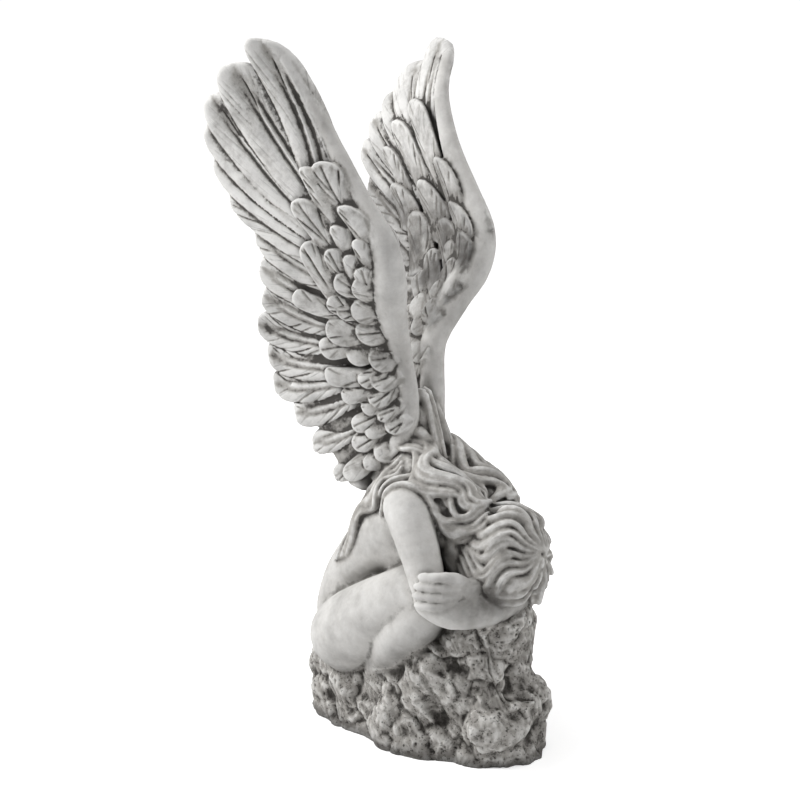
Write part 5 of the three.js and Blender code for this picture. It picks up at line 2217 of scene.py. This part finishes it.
        # painted highlight on convex rims
        rim = sheet.remap(hollow, *self.rim_highlight_range)
        colour = sheet.mix(rim, self.tone(sheet, "plain"), self.tone(sheet, "rim"))
        colour = sheet.mix(sheet.remap(cloud, *self.cloud_range), colour, dark)
        strokes = sheet.times(sheet.remap(streak, *self.stroke_range), grained)
        # the wash and painted shade, with the grain's strokes
        wash_and_shade = sheet.most(self.wash_and_shade(sheet, cloud, hollow, dip), strokes)
        colour = sheet.mix(sheet.times(wash_and_shade, self.wash_and_shade_weight), colour, dark)
        colour = sheet.mix(self.specks(sheet, crust, dip), colour, dark)
        colour = sheet.mix(self.pores(sheet, patch), colour, dark)
        # painted shade: the most closed hollows turn to the deep colour
        deep = sheet.remap(sheet.attribute("openness"), *self.closed_shade_range)
        sheet.link(sheet.mix(deep, colour, self.deep), shader.inputs["Base Color"])

        rough = sheet.times(sheet.attribute("rock"), sheet.times(crust, self.crust_height))
        strands = sheet.times(streak, grained, self.streak_height)
        height = sheet.plus(strands, sheet.times(speck, self.speck_height), rough)
        bump = sheet.tree.nodes.new("ShaderNodeBump")
        bump.inputs["Strength"].default_value = self.bump_strength
        bump.inputs["Distance"].default_value = self.bump_depth
        sheet.link(height, bump.inputs["Height"])
        sheet.link(bump.outputs["Normal"], shader.inputs["Normal"])
        return material


# ---- Studio ----


@dataclass(frozen=True)
class Lamp:
    """One square soft light that faces the statue, in metres and watts."""

    name: str
    place: Triple
    size: float
    power: float


LAMPS = (
    Lamp("left", (-1.35, 1.65, 1.7), 1.1, 52),
    Lamp("right", (1.1, -1.9, 1.7), 1.1, 19),
    Lamp("overhead", (-0.3, -0.2, 2.6), 1.0, 9),
)


@dataclass
class Studio:
    """A white floor with a painted shadow around the statue, soft lights and the camera, in metres."""

    camera_place: Triple = (-1.4269, -1.1608, 0.684)
    camera_heading: Pair = (0.766, 0.643)
    camera_pitch: float = math.radians(10.64)
    lens: float = 86.2  # in millimetres, as is the sensor
    sensor: float = 36.0
    sight: float = 100.0  # how far the camera sees
    aim: Triple = (0, 0, 0.3)  # where the lamps face
    floor_tone: Colour = (0.9, 0.9, 0.9, 1)
    white: Colour = (1, 1, 1, 1)
    floor_half: float = 40.0
    floor_glow_and_shadow: Numbers = (0.15, 0.6, 0.57, 0.95)  # nearest, furthest, and the glow there; the dimmer glow near the statue is a painted shadow
    world_glow: Pair = (0.22, 1.05)  # on the statue and behind it

    def build(self) -> None:
        """Builds the studio."""
        self.add_floor()
        self.add_world()
        for lamp in LAMPS:
            self.add_lamp(lamp)
        self.add_camera()
        bpy.context.scene.view_settings.view_transform = "Standard"

    def add_floor(self) -> None:
        """Adds the floor, which glows less near the statue as a painted shadow."""
        form = bmesh.new()
        bmesh.ops.create_grid(form, x_segments=1, y_segments=1, size=self.floor_half)
        mesh = bpy.data.meshes.new("floor")
        form.to_mesh(mesh)
        form.free()
        floor = link_piece("floor", mesh)
        material = bpy.data.materials.new("white_floor")
        material.use_nodes = True
        sheet = Sheet(material.node_tree)
        nodes = sheet.tree.nodes
        shader = nodes["Principled BSDF"]
        shader.inputs["Base Color"].default_value = self.floor_tone
        shader.inputs["Roughness"].default_value = 1.0
        shader.inputs["Emission Color"].default_value = self.white
        path, place = nodes.new("ShaderNodeLightPath"), nodes.new("ShaderNodeTexCoord")
        far = nodes.new("ShaderNodeVectorMath")
        far.operation = "LENGTH"
        sheet.link(place.outputs["Object"], far.inputs[0])
        # painted shadow: the floor glows less near the statue
        glow = sheet.remap(far.outputs["Value"], *self.floor_glow_and_shadow)
        seen = sheet.times(path.outputs["Is Camera Ray"], glow)
        sheet.link(seen, shader.inputs["Emission Strength"])
        mesh.materials.append(material)

    def add_world(self) -> None:
        """Adds a white surround that also fills the shadows."""
        world = bpy.data.worlds.new("surround")
        world.use_nodes = True
        background = world.node_tree.nodes["Background"]
        background.inputs["Color"].default_value = self.white
        sheet = Sheet(world.node_tree)
        path = sheet.tree.nodes.new("ShaderNodeLightPath")
        glow = sheet.remap(path.outputs["Is Camera Ray"], 0, 1, *self.world_glow)
        sheet.link(glow, background.inputs["Strength"])
        bpy.context.scene.world = world

    def add_lamp(self, lamp: Lamp) -> None:
        """Adds one lamp, turned to face the statue.

        Args:
            lamp: Its place, size and power.
        """
        light = bpy.data.lights.new(lamp.name, "AREA")
        light.size = lamp.size
        light.energy = lamp.power
        stand = bpy.data.objects.new(lamp.name, light)
        stand.location = lamp.place
        aim = Vector(self.aim) - stand.location
        stand.rotation_euler = aim.to_track_quat("-Z", "Y").to_euler()
        bpy.context.scene.collection.objects.link(stand)

    def add_camera(self) -> None:
        """Adds the camera, in front of the figure's right shoulder and a little above it."""
        camera = bpy.data.cameras.new("camera")
        camera.lens = self.lens
        camera.sensor_width = self.sensor
        camera.clip_end = self.sight
        stand = bpy.data.objects.new("camera", camera)
        stand.location = self.camera_place
        east, north = self.camera_heading
        level = math.cos(self.camera_pitch)
        aim = Vector((east * level, north * level, -math.sin(self.camera_pitch)))
        stand.rotation_euler = aim.to_track_quat("-Z", "Y").to_euler()
        bpy.context.scene.collection.objects.link(stand)
        bpy.context.scene.camera = stand


def main() -> None:
    """Builds the statue and its studio, and reports each piece."""
    logging.basicConfig(level=logging.INFO, format="%(name)s: %(message)s")
    statue = Casting().build()
    statue.data.materials.append(CastStone().material())
    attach(statue, "root")
    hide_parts(NODE)
    log.info("%s: %s faces", statue.name, len(statue.data.polygons))
    Studio().build()
    log.info("studio ready")


if __name__ == "__main__":
    main()
